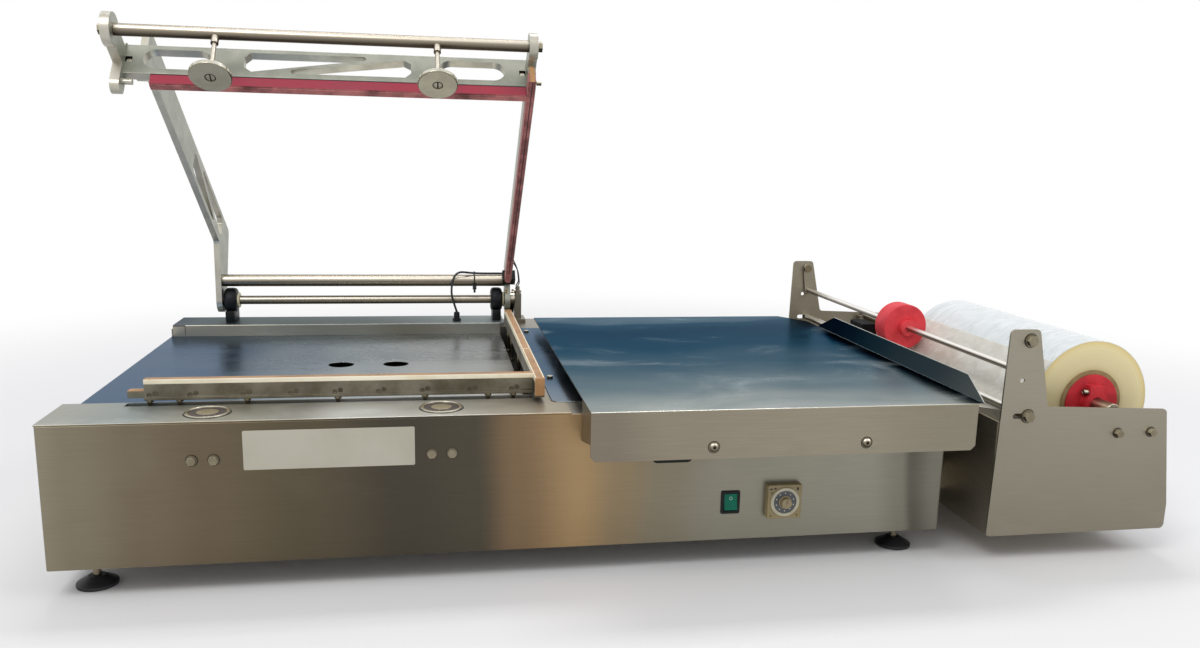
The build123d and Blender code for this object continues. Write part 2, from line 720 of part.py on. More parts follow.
gland_top = rail_rise + 17
with BuildPart() as cable_gland:
    cylinder(facing_up(gland_x, gland_y, -14), gland_thread_diameter, 14 + rail_rise)
    hexagon(facing_up(gland_x, gland_y, rail_rise), 14, 4)
    hexagon(facing_up(gland_x, gland_y, deck_underside - 5), 14, 5)
    cylinder(facing_up(gland_x, gland_y, rail_rise + 4), 11, gland_top - rail_rise - 4)
    fillet(cable_gland.edges().filter_by(GeomType.CIRCLE).group_by(Axis.Z)[-1], 3)
save(cable_gland.part, "cable_gland")

tube_y = hinge_y - cross_tube_set
tube_z = hinge_z + cross_tube_rise
cable_run_z = tube_z + cross_tube_diameter / 2 + cable_diameter / 2 + 0.5
cable_route = [at(gland_x, gland_y, gland_top), at(gland_x - 12, gland_y - 7, 60),
               at(gland_x - 3, tube_y - 15, cable_run_z + 6),
               at(gland_x + 36, tube_y, cable_run_z),
               at(right_arm_x - arm_thickness / 2, tube_y, cable_run_z)]


def bend_radius(before, corner, after):
    """The radius of a cable's bend whose ends take 0.45 of the shorter run."""
    first = Vector(*corner) - Vector(*before)
    second = Vector(*after) - Vector(*corner)
    half_turn = math.radians(first.get_angle(second)) / 2
    return 0.45 * min(first.length, second.length) / math.tan(half_turn)


cable_radii = [bend_radius(*cable_route[i:i + 3]) for i in range(len(cable_route) - 2)]
print("cable bend radii", [round(r, 1) for r in cable_radii])

with BuildPart() as head_cable:
    with BuildLine() as cable_path:
        FilletPolyline(*cable_route, radius=cable_radii)
    with BuildSketch(Plane(cable_path.line @ 0, z_dir=cable_path.line % 0)):
        Circle(cable_diameter / 2)
    sweep()
    cylinder(facing_up(gland_x, gland_y, rail_rise), 16, gland_top - rail_rise, Mode.SUBTRACT)
save(head_cable.part, "head_cable")

# ---- head --------------------------------------------------------------------
beam_right = right_arm_outer
beam_rear = front_bar_rear


def from_hinge(places):
    """Places back from and above the hinge, as places in the deck's own y and z."""
    return [(hinge_y + back, hinge_z + up) for back, up in places]


slot_z = (beam_bottom + beam_top) / 2 + 1

with BuildPart() as head_beam:
    box(beam_left, beam_right, front_bar_y, beam_rear, beam_bottom, beam_top)
    fillet(head_beam.edges().filter_by(Axis.X), 1.5)
    with BuildSketch(facing_front(0, beam_rear, slot_z)):
        for slot_x, slot_length_x in beam_slots:
            with Locations((slot_x, 0)):
                SlotOverall(slot_length_x, beam_slot_height)
    extrude(amount=bar_width, mode=Mode.SUBTRACT)
    for window in (beam_window, beam_right_window):
        slab(facing_front(0, beam_rear, 0), window, arm_window_corner, bar_width, Mode.SUBTRACT)
    for x in beam_screws_x:
        box(x - 4.5, x + 4.5, front_bar_y, front_bar_y + 8, slot_z - 6, slot_z + 3, Mode.SUBTRACT)
save(lifted(head_beam.part), "head_beam")

with BuildPart() as left_arm:
    with BuildSketch(facing_right(left_arm_x - arm_thickness / 2, 0, 0)) as left_outline:
        with BuildLine():
            Polyline((beam_rear, hinge_z + left_arm_front[0]), *from_hinge(left_arm_lower),
                     (hinge_y - 0.8 * arm_eye_radius, hinge_z - 0.605 * arm_eye_radius),
                     (hinge_y + 0.955 * arm_eye_radius, hinge_z + 0.309 * arm_eye_radius),
                     *from_hinge(left_arm_upper), (beam_rear, hinge_z + left_arm_front[1]),
                     close=True)
        make_face()
        fillet(left_outline.vertices().sort_by(Axis.X)[3:7], 10)
        with Locations((hinge_y, hinge_z)):
            Circle(arm_eye_radius)
            Circle(shaft_diameter / 2, mode=Mode.SUBTRACT)
    extrude(amount=arm_thickness)
    for window in (left_arm_window, left_arm_rear_window):
        slab(facing_right(left_arm_x - arm_thickness / 2, 0, 0), from_hinge(window),
             arm_window_corner, arm_thickness, Mode.SUBTRACT)
save(lifted(left_arm.part), "left_arm")

notch_front = hinge_y + right_arm_notch[0]
notch_rear = hinge_y + right_arm_notch[1]
notch_rise = right_arm_notch[2]

with BuildPart() as right_arm:
    with BuildSketch(facing_right(right_arm_x - arm_thickness / 2, 0, 0)) as right_outline:
        with BuildLine():
            Polyline((beam_rear, beam_bottom), (notch_front, beam_bottom),
                     (notch_front, hinge_z + notch_rise), (notch_rear, hinge_z + notch_rise),
                     (hinge_y - 0.923 * arm_eye_radius, hinge_z - 0.386 * arm_eye_radius),
                     (hinge_y + 0.714 * arm_eye_radius, hinge_z + 0.705 * arm_eye_radius),
                     (hinge_y + right_arm_heel, beam_top), (beam_rear, beam_top), close=True)
        make_face()
        with Locations((hinge_y, hinge_z)):
            Circle(arm_eye_radius)
            Circle(shaft_diameter / 2, mode=Mode.SUBTRACT)
    extrude(amount=arm_thickness)
save(lifted(right_arm.part), "right_arm")

with BuildPart() as cross_tube:
    cylinder(facing_right(left_arm_x + arm_thickness / 2, tube_y, tube_z), cross_tube_diameter,
             right_arm_x - left_arm_x - arm_thickness)
save(cross_tube.part, "cross_tube")

handle_left = beam_left
handle_right = side_bar_left + 1.5
bracket_pin_z = 40.0

with BuildPart() as handle_tube:
    cylinder(facing_right(handle_left, magnet_y, handle_z), handle_diameter,
             handle_right - handle_left)
save(lifted(handle_tube.part), "handle_tube")

with BuildPart() as end_brackets:
    with BuildSketch(facing_right(handle_left - bracket_thickness, 0, 0)):
        with Locations((magnet_y, handle_z)):
            Circle(bracket_ear_radius)
        with Locations(((magnet_y + 93.5) / 2, handle_z)):
            Rectangle(93.5 - magnet_y, 30)
        with Locations((93.5, 63)):
            SlotOverall(82, 23, rotation=90)
    extrude(amount=bracket_thickness)
    with BuildSketch(facing_right(handle_right, 0, 0)):
        with Locations((magnet_y, handle_z)):
            Circle(bracket_ear_radius - 4)
        with Locations(((magnet_y + front_bar_y) / 2, handle_z - 1)):
            Rectangle(front_bar_y - magnet_y, 24)
    extrude(amount=bracket_thickness)
    for x in (handle_left - bracket_thickness, handle_right):
        cylinder(facing_right(x, magnet_y, handle_z), 8, bracket_thickness, Mode.SUBTRACT)
    cylinder(facing_right(handle_left, 93.5, bracket_pin_z), 8, 13)
save(lifted(end_brackets.part), "end_brackets")

rod_bottom = magnet_rise + closed_gap + disc_thickness

with BuildPart() as disc_rods:
    for x in magnets_x:
        cylinder(facing_up(x, magnet_y, rod_bottom), rod_diameter, handle_z - rod_bottom)
        cylinder(facing_up(x, magnet_y, handle_z - 18), rod_boss_diameter, 18)
    cylinder(facing_right(handle_left, magnet_y, handle_z), handle_diameter,
             handle_right - handle_left, Mode.SUBTRACT)
save(lifted(disc_rods.part), "disc_rods")

with BuildPart() as pull_discs:
    for x in magnets_x:
        cylinder(facing_up(x, magnet_y, magnet_rise + closed_gap), disc_diameter, disc_thickness)
    chamfer(pull_discs.edges(), 1.2)
    for x in magnets_x:
        cylinder(facing_up(x, magnet_y, magnet_rise + closed_gap), disc_screw_diameter, 4,
                 Mode.SUBTRACT)
save(lifted(pull_discs.part), "pull_discs")

with BuildPart() as head_fasteners:
    for x in magnets_x:
        cylinder(facing_up(x, magnet_y, magnet_rise + closed_gap + 1), disc_screw_diameter, 3)
        box(x - 0.9, x + 0.9, magnet_y - 7, magnet_y + 7, magnet_rise + closed_gap,
            magnet_rise + closed_gap + 2.4, Mode.SUBTRACT)
    cylinder(facing_right(handle_left - bracket_thickness - washer, magnet_y, handle_z), 18, washer)
    hexagon(facing_right(handle_left - bracket_thickness - washer - bolt_head, magnet_y, handle_z),
            13, bolt_head)
    cylinder(facing_right(handle_left - bracket_thickness, magnet_y, handle_z), 8,
             bracket_thickness)
    cylinder(facing_right(handle_right, magnet_y, handle_z), 8, bracket_thickness)
    cylinder(facing_right(handle_right + bracket_thickness, magnet_y, handle_z), 18, washer)
    hexagon(facing_right(handle_right + bracket_thickness + washer, magnet_y, handle_z), 13,
            bolt_head)
    for x in beam_screws_x:
        cylinder(facing_back(x, front_bar_y + 3, slot_z - 1.5), 7, 5)
    box(side_bar_left + 1, side_bar_right - 1, side_bar_front, front_bar_y, beam_bottom,
        beam_bottom + 10)
    hexagon(facing_up(side_bar_x, 70, beam_bottom + 10), 8, 4)
    cylinder(facing_right(side_bar_right, 72, beam_bottom - 8), 6, 7)
save(lifted(head_fasteners.part), "head_fasteners")

band_top = seal_level + closed_gap + band_thickness

with BuildPart() as upper_front_bar:
    box(front_bar_left - 3, side_bar_left, front_bar_y, front_bar_rear, band_top, beam_bottom)
save(lifted(upper_front_bar.part), "upper_front_bar")

with BuildPart() as upper_side_bar:
    box(side_bar_left + upper_side_trims[0], side_bar_right - upper_side_trims[1], side_bar_front,
        upper_side_rear, band_top, beam_bottom)
save(lifted(upper_side_bar.part), "upper_side_bar")

with BuildPart() as seal_bands:
    box(front_bar_left - 3, side_bar_left + 3, front_bar_y + 2, front_bar_rear - 2,
        band_top - band_thickness, band_top)
    box(side_bar_left + 3, side_bar_right - 3, side_bar_front - 2, upper_side_rear,
        band_top - band_thickness, band_top)
    box(side_bar_left + 3, side_bar_right - 3, side_bar_front - 2, side_bar_front, band_top,
        beam_bottom + 10)
save(lifted(seal_bands.part), "seal_bands")

with BuildPart() as terminal_block:
    block_y = hinge_y - terminal_front
    block_x = right_arm_x + 1 - terminal_length / 2
    block_top = hinge_z + notch_rise
    box(block_x, block_x + terminal_length, block_y, block_y + terminal_depth,
        block_top - terminal_height, block_top)
    chamfer(terminal_block.edges().filter_by(Axis.X), 1.5)
    for y in (block_y + 0.25 * terminal_depth, block_y + 0.7 * terminal_depth):
        cylinder(facing_right(block_x, y, block_top - 13), 5, 1.5, Mode.SUBTRACT)
save(lifted(terminal_block.part), "terminal_block")

# ---- product tray ------------------------------------------------------------
tray_front = -tray_overhang
lean = math.radians(flange_lean)
tray_underside = tray_top - tray_sheet
runner_half_width = 10.0
slide_gap = 0.3
flange_plane = Plane(at(tray_right, 0, tray_top), x_dir=(0, 1, 0),
                     z_dir=(math.cos(lean), 0, -math.sin(lean)))

with BuildPart() as tray:
    slab(facing_up(0, 0, tray_underside),
         [(tray_left, tray_front), (tray_right, tray_front),
          (tray_right, tray_rear - tray_corner_y), (tray_right - tray_corner_x, tray_rear),
          (tray_left, tray_rear)], 0, tray_sheet)
    slab(facing_front(0, tray_front + tray_sheet, 0),
         [(tray_left, tray_top), (tray_left, apron_bottom + 6), (tray_left + 6, apron_bottom),
          (apron_right - 6, apron_bottom), (apron_right, apron_bottom + 6),
          (apron_right, tray_top)],
         0, tray_sheet)
    slab(facing_right(tray_left, 0, 0),
         [(tray_front, tray_top), (-1, tray_top), (-1, cheek_bottom_rear),
          (tray_front, cheek_bottom_front)], 0, tray_sheet)
    for x in tray_screws_x:
        cylinder(facing_front(x, tray_front + tray_sheet, tray_screw_z), 6, tray_sheet,
                 Mode.SUBTRACT)
    slab(flange_plane,
         [(tray_front, -1.4), (flange_rear, -1.4), (flange_rear, 0),
          (flange_rear - flange_cut, flange_width),
          (tray_front + flange_front_cut, flange_width), (tray_front, 0)], 0, tray_sheet)
    fillet(tray.edges().filter_by(Axis.X).group_by(Axis.Z)[-1].sort_by(Axis.Y)[0], 1.5)
save(tray.part, "tray")

with BuildPart() as tray_runners:
    for x in tray_screws_x:
        box(x - runner_half_width, x + runner_half_width, tray_front + tray_sheet, runner_rear,
            rail_rise, tray_underside)
        box(x - runner_half_width, x + runner_half_width, tray_front + tray_sheet,
            tray_front + tray_sheet + 10, tray_screw_z - 9, rail_rise)
        cylinder(facing_front(x, tray_front, tray_screw_z), 11, screw_head_rise)
        cylinder(facing_front(x, tray_front + tray_sheet, tray_screw_z), 6, tray_sheet)
save(tray_runners.part, "tray_runners")

with BuildPart() as tray_rails:
    for x in tray_screws_x:
        box(x - runner_half_width - 7, x + runner_half_width + 7, rail_start, rail_rear, -sheet,
            rail_rise - slide_gap)
        for side in (-1, 1):
            box(x + side * (runner_half_width + 5) - 2, x + side * (runner_half_width + 5) + 2,
                rail_start, rail_rear, rail_rise - slide_gap, rail_rise + 7)
save(tray_rails.part, "tray_rails")

# ---- film cradle -------------------------------------------------------------
plate_outline = [(cradle_left, -cabinet_height), (cradle_left + 3.6, -43.5),
                 (ear_left, ear_top), (ear_right, ear_top), (ear_foot, plate_shoulder + 1.5),
                 (cradle_right - 20, plate_shoulder - 6), (cradle_right, -146),
                 (cradle_right, -cabinet_height)]
front_inner = cradle_front_y + cradle_sheet
rear_inner = cradle_rear_y - cradle_sheet
pan_left = cradle_left + 3.0
bracket_bolts = [(x, bracket_bolts_z) for x in bracket_bolts_x]
pivot_bolts = [top_bolt, guide_bolt]
spacer_front = 120.0
spacer_rear_set = 122.0
spacer_size = 40.0
spacer_wall = 3.0
spacer_centre_z = -140.0
spacer_places = [spacer_front, cabinet_depth - spacer_rear_set]
link_gap = 0.5
bracket_sheet_thick = 5.0

with BuildPart() as cradle_plates:
    for back_face in (front_inner, cradle_rear_y):
        with BuildSketch(facing_front(0, back_face, 0)) as plate_sketch:
            with BuildLine():
                Polyline(*plate_outline, close=True)
            make_face()
            fillet(plate_sketch.vertices(), 7)
            with Locations(top_bolt, *bracket_bolts):
                Circle(bolt_diameter / 2, mode=Mode.SUBTRACT)
            with Locations(ear_hole):
                Circle(3.5, mode=Mode.SUBTRACT)
            with Locations((guide_bolt[0] - 7, guide_bolt[1])):
                SlotOverall(slot_length, bolt_diameter, mode=Mode.SUBTRACT)
        extrude(amount=cradle_sheet)
save(cradle_plates.part, "cradle_plates")

with BuildPart() as cradle_pan:
    box(pan_left, pan_left + cradle_sheet, front_inner, rear_inner, -cabinet_height, side_panel_top)
    box(pan_left, cradle_right - 1, front_inner, rear_inner, -cabinet_height,
        -cabinet_height + cradle_sheet)
    for y in spacer_places:
        outer = spacer_size / 2
        inner = outer - spacer_wall
        box(cabinet_length, pan_left, y - outer, y + outer, spacer_centre_z - outer,
            spacer_centre_z + outer)
        box(cabinet_length, pan_left, y - inner, y + inner, spacer_centre_z - inner,
            spacer_centre_z + inner, Mode.SUBTRACT)
save(cradle_pan.part, "cradle_pan")

with BuildPart() as cradle_bolts:
    for x, z in pivot_bolts + bracket_bolts:
        cylinder(facing_front(x, cradle_front_y, z), 18 if (x, z) in pivot_bolts else 13, washer)
        hexagon(facing_front(x, cradle_front_y - washer, z), 13 if (x, z) in pivot_bolts else 10,
                bolt_head)
        cylinder(facing_back(x, cradle_rear_y, z), 18 if (x, z) in pivot_bolts else 13, washer)
        hexagon(facing_back(x, cradle_rear_y + washer, z), 13 if (x, z) in pivot_bolts else 10,
                bolt_head)
        cylinder(facing_back(x, cradle_front_y, z), bolt_diameter, 12)
        cylinder(facing_front(x, cradle_rear_y, z), bolt_diameter, 12)
    for y, way in ((front_inner, facing_back), (rear_inner, facing_front)):
        sign = 1 if way is facing_back else -1
        cylinder(way(top_bolt[0], y + sign * (2 * link_gap + link_thickness), top_bolt[1]), 16, 4)
        cylinder(way(top_bolt[0], y, top_bolt[1]), bolt_diameter, 2 * link_gap + link_thickness + 4)
save(cradle_bolts.part, "cradle_bolts")

# ---- dancer and guide rod ----------------------------------------------------
rod_x = top_bolt[0] + link_set
rod_z = top_bolt[1] - link_length
front_link_y = front_inner + link_gap
rear_link_y = rear_inner - link_gap

with BuildPart() as dancer_links:
    for back_face in (front_link_y + link_thickness, rear_link_y):
        with BuildSketch(facing_front(0, back_face, 0)):
            with Locations(((top_bolt[0] + rod_x) / 2, (top_bolt[1] + rod_z) / 2)):
                SlotCenterToCenter(math.hypot(link_set, link_length), link_width,
                                   rotation=-math.degrees(math.atan2(link_length, link_set)))
            with Locations(top_bolt):
                Circle(bolt_diameter / 2 + running_clearance, mode=Mode.SUBTRACT)
            with Locations((rod_x, rod_z)):
                Circle(dancer_diameter / 2, mode=Mode.SUBTRACT)
        extrude(amount=link_thickness)
save(dancer_links.part, "dancer_links")

with BuildPart() as dancer_rod:
    cylinder(facing_back(rod_x, front_link_y, rod_z), dancer_diameter, rear_link_y - front_link_y)
save(dancer_rod.part, "dancer_rod")

with BuildPart() as collar:
    cylinder(facing_back(rod_x, collar_front_y, rod_z), collar_diameter, collar_thickness)
    fillet(collar.edges(), 1.5)
    box(rod_x - collar_diameter, rod_x + collar_diameter, collar_front_y - 1,
        collar_front_y + collar_thickness + 1, rod_z - collar_diameter, rod_z - collar_flat,
        Mode.SUBTRACT)
    cylinder(facing_front(rod_x, collar_front_y, rod_z), 26, 13)
    box(rod_x - 1, rod_x + 21, collar_front_y - 13, collar_front_y, rod_z - 6, rod_z + 15)
    cylinder(facing_back(rod_x, collar_front_y - 13, rod_z), dancer_diameter,
             collar_thickness + 13, Mode.SUBTRACT)
rod_axis = Axis(at(rod_x, 0, rod_z), (0, 1, 0))
save(collar.part.rotate(rod_axis, collar_turn), "collar")

roller_front = front_inner + link_gap
roller_rear = rear_inner - link_gap

with BuildPart() as guide_rod:
    cylinder(facing_back(guide_bolt[0], roller_front, guide_bolt[1]), guide_rod_diameter,
             roller_rear - roller_front)
    cylinder(facing_back(guide_bolt[0], perforator_wheel_y, guide_bolt[1]),
             perforator_wheel_diameter, perforator_wheel_width)
    for start, way in ((roller_front, facing_back), (roller_rear, facing_front)):
        cylinder(way(guide_bolt[0], start, guide_bolt[1]), bolt_diameter + 2 * running_clearance,
                 12, Mode.SUBTRACT)
save(guide_rod.part, "guide_rod")

with BuildPart() as perforator_block:
    box(pan_left + cradle_sheet, pan_left + cradle_sheet + perforator_block_size[0],
        perforator_block_y, perforator_block_y + perforator_block_size[1],
        perforator_block_top - perforator_block_size[2], perforator_block_top)
    fillet(perforator_block.edges().filter_by(Axis.Y), 2)
save(perforator_block.part, "perforator_block")

# ---- film roll ---------------------------------------------------------------
roll_rear_y = roll_front_y + roll_length
core_bore = core_radius - core_wall

with BuildPart() as film_roll:
    with BuildSketch(facing_back(roll_x, roll_front_y, roll_z)):
        Circle(roll_radius)
        Circle(core_radius, mode=Mode.SUBTRACT)
    extrude(amount=roll_length)
save(film_roll.part, "film_roll")

with BuildPart() as core:
    with BuildSketch(facing_back(roll_x, roll_front_y - 2, roll_z)):
        Circle(core_radius)
        Circle(core_bore, mode=Mode.SUBTRACT)
    extrude(amount=roll_length + 4)
save(core.part, "core")

with BuildPart() as roll_hubs:
    for face, way, sign in ((roll_front_y - 4, facing_back, -1), (roll_rear_y + 4, facing_front, 1)):
        cylinder(way(roll_x, face, roll_z), 2 * core_bore, hub_length)
        cylinder(way(roll_x, face + sign * hub_boss, roll_z), hub_boss_diameter, hub_boss)
        box(roll_x + hub_clamp[0], roll_x + hub_clamp[1], min(face, face + sign * hub_boss),
            max(face, face + sign * hub_boss), roll_z + hub_clamp[2], roll_z + hub_clamp[3])
    cylinder(facing_back(roll_x, front_inner, roll_z), roll_shaft_diameter,
             rear_inner - front_inner, Mode.SUBTRACT)
save(roll_hubs.part, "roll_hubs")

with BuildPart() as roll_shaft:
    cylinder(facing_back(roll_x, front_inner + 1, roll_z), roll_shaft_diameter,
             rear_inner - front_inner - 2)
    chamfer(roll_shaft.edges().filter_by(GeomType.CIRCLE), 1)
save(roll_shaft.part, "roll_shaft")

with BuildPart() as shaft_brackets:
    for y, way in ((front_inner, facing_back), (rear_inner, facing_front)):
        slab(facing_front(0, y if way is facing_front else y + bracket_sheet_thick, 0),
             [(roll_x - 18, -58), (bracket_bolts_x[1] + 14, -58),
              (bracket_bolts_x[1] + 14, -24), (roll_x + 18, -24), (roll_x + 18, roll_z),
              (roll_x - 18, roll_z)], 3, bracket_sheet_thick)
        slab(facing_front(0, y if way is facing_front else y + 16, 0),
             [(roll_x - 18, -48), (roll_x + 18, -48), (roll_x + 18, roll_z),
              (roll_x - 18, roll_z)], 0, 16)
        cylinder(way(roll_x, y, roll_z), roll_shaft_diameter + 2 * running_clearance, 16,
                 Mode.SUBTRACT)
        for x, z in bracket_bolts:
            cylinder(way(x, y, z), bolt_diameter, 16, Mode.SUBTRACT)
save(shaft_brackets.part, "shaft_brackets")

# ---- film web ----------------------------------------------------------------
roll_track = roll_radius + film_gap + web_thickness / 2
rod_track = guide_rod_diameter / 2 + film_gap + web_thickness / 2
span = Vector(guide_bolt[0] - roll_x, guide_bolt[1] - roll_z)
span_angle = math.atan2(span.Y, span.X)
leave_angle = span_angle - math.acos((roll_track + rod_track) / span.length)
roll_leave = (roll_x + roll_track * math.cos(leave_angle),
              roll_z + roll_track * math.sin(leave_angle))
rod_meet = (guide_bolt[0] - rod_track * math.cos(leave_angle),
            guide_bolt[1] - rod_track * math.sin(leave_angle))
deck_edge = (cabinet_length, -0.9)
web_lie = web_thickness / 2 - sheet
run = Vector(guide_bolt[0] - deck_edge[0], guide_bolt[1] - deck_edge[1])
run_angle = math.atan2(run.Y, run.X) - math.asin(rod_track / run.length)
rod_part = (guide_bolt[0] + rod_track * math.sin(run_angle),
            guide_bolt[1] - rod_track * math.cos(run_angle))
wrap_mid = (guide_bolt[0] - rod_track * math.cos(leave_angle - 0.5),
            guide_bolt[1] - rod_track * math.sin(leave_angle - 0.5))

with BuildPart() as film_web:
    with BuildSketch(facing_front(0, roll_rear_y, 0)):
        with BuildLine():
            Line(roll_leave, rod_meet)
            ThreePointArc(rod_meet, wrap_mid, rod_part)
            Polyline(rod_part, deck_edge, (deck_edge[0] - 22, web_lie),
                     (deck_edge[0] - 100, web_lie))
        trace(line_width=web_thickness)
    extrude(amount=roll_length)
save(film_web.part, "film_web")
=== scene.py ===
"""The looks of an L bar sealer: brushed stainless cabinet, cast head, seal bars, film cradle.

Lengths are in millimetres from the left, front and top of the cabinet's deck, as in the part's own
source, and place() turns them into the frame's metres.
"""

import math

import bmesh
import bpy
from mathutils import Matrix, Vector, noise
from mathutils.bvhtree import BVHTree
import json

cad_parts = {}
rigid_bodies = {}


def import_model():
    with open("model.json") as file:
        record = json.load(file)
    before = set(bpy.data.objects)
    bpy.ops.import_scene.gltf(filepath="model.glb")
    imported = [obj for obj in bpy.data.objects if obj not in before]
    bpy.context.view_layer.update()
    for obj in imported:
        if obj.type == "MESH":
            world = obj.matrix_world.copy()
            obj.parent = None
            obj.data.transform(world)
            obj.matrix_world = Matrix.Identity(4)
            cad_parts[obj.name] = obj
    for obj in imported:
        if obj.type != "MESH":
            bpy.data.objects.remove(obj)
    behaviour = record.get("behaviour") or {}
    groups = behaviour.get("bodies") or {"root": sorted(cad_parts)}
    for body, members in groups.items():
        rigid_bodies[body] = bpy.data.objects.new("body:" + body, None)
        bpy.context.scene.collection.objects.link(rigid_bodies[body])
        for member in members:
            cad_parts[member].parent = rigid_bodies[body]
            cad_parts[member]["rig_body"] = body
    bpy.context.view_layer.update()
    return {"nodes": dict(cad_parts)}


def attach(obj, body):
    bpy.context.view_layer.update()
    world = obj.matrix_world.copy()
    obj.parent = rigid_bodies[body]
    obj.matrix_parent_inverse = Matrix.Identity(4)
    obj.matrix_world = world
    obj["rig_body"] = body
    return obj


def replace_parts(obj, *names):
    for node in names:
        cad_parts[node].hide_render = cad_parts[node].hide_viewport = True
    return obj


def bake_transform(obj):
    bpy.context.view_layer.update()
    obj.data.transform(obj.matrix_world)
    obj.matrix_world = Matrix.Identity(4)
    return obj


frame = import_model()
scene = bpy.context.scene

# Places and sizes in deck millimetres.
DECK = Vector((747, 350, -225))  # the frame's origin
HINGE_Y, HINGE_Z = 676.5, 43.0
OPEN_ANGLE = math.radians(38.8)
MAGNETS_X, MAGNET_Y = (186.5, 473.0), 38.5
TIMER_X, TIMER_Z = 928.5, -128.6
APRON_Y, APRON_SCREWS_X, APRON_SCREW_Z = -72, (807, 1010), -29
CRADLE_Y, PIVOT_X, PIVOT_Z = -34, 1253, 94
GUIDE_X, GUIDE_Z, GUIDE_RADIUS = 1260, -11, 6
ROLL_X, ROLL_Z = 1393.0, -8.0
ROLL_FRONT, ROLL_REAR = 19.5, 395.5
CORE_RADIUS, ROLL_RADIUS = 47, 90


def place(x, y, z):
    """A deck point in the frame's metres."""
    return (Vector((x, y, z)) - DECK) / 1000


# ---- camera ------------------------------------------------------------------
RIGHT = Vector((0.985032, -0.170842, 0.022921))
UP = Vector((0.010163, 0.190304, 0.981673))
BACK = RIGHT.cross(UP)
view = bpy.data.cameras.new("view")
view.sensor_width = 36.0
view.lens = 29.0273
view.shift_x = -0.0010259
view.shift_y = 0.0105815
camera = bpy.data.objects.new("view", view)
camera.matrix_world = Matrix.Translation((-0.28474, -1.53834, 0.55630)) @ Matrix(
    (RIGHT, UP, BACK)).transposed().to_4x4()
scene.collection.objects.link(camera)
scene.camera = camera
scene.view_settings.view_transform = "Standard"

# ---- helpers -----------------------------------------------------------------
HINGE = place(0, HINGE_Y, HINGE_Z)
LIFT = (Matrix.Translation(HINGE) @ Matrix.Rotation(-OPEN_ANGLE, 4, "X")
        @ Matrix.Translation(-HINGE))
WAYS = {"up": (0, 0, 1), "down": (0, 0, -1), "front": (0, -1, 0), "back": (0, 1, 0),
        "right": (1, 0, 0), "left": (-1, 0, 0)}


def spot(x, y, z, way="up", lifted=False):
    """The matrix that takes a shape in millimetres, built up its own Z, to a deck point."""
    turn = Vector(WAYS[way]).to_track_quat("Z", "Y").to_matrix().to_4x4()
    made = Matrix.Translation(place(x, y, z)) @ turn @ Matrix.Scale(0.001, 4)
    return LIFT @ made if lifted else made


def linear(code):
    """A hex colour as linear red, green, blue and alpha."""
    parts = [int(code[i:i + 2], 16) / 255 for i in (1, 3, 5)]
    return [p / 12.92 if p <= 0.04045 else ((p + 0.055) / 1.055) ** 2.4 for p in parts] + [1.0]


def per(millimetres):
    """The texture scale whose features are that many millimetres wide."""
    return 1000.0 / millimetres


def start(name, colour, metallic, roughness, **sockets):
    """A new material, with its shader's own sockets set."""
    material = bpy.data.materials.new(name)
    material.use_nodes = True
    shader = material.node_tree.nodes["Principled BSDF"]
    values = {"Base Color": linear(colour), "Metallic": metallic, "Roughness": roughness}
    values.update({key.replace("_", " "): value for key, value in sockets.items()})
    for key, value in values.items():
        shader.inputs[key].default_value = linear(value) if isinstance(value, str) else value
    return material, shader


def add(material, kind, feeds=None, stops=None, into=None, **settings):
    """Adds a node with its settings, inputs and colour stops, and links it on to a shader."""
    tree = material.node_tree
    node = tree.nodes.new("ShaderNode" + kind)
    for key, value in settings.items():
        setattr(node, key, value)
    for key, value in (feeds or {}).items():
        if isinstance(value, bpy.types.NodeSocket):
            tree.links.new(value, node.inputs[key])
        else:
            node.inputs[key].default_value = linear(value) if isinstance(value, str) else value
    if stops:
        row = node.color_ramp.elements
        while len(row) < len(stops):
            row.new(1.0)
        for element, (at, shade) in zip(row, stops):
            element.position = at
            element.color = linear(shade)
    if into:
        shader, socket, output = into
        tree.links.new(node.outputs[output], shader.inputs[socket])
    return node


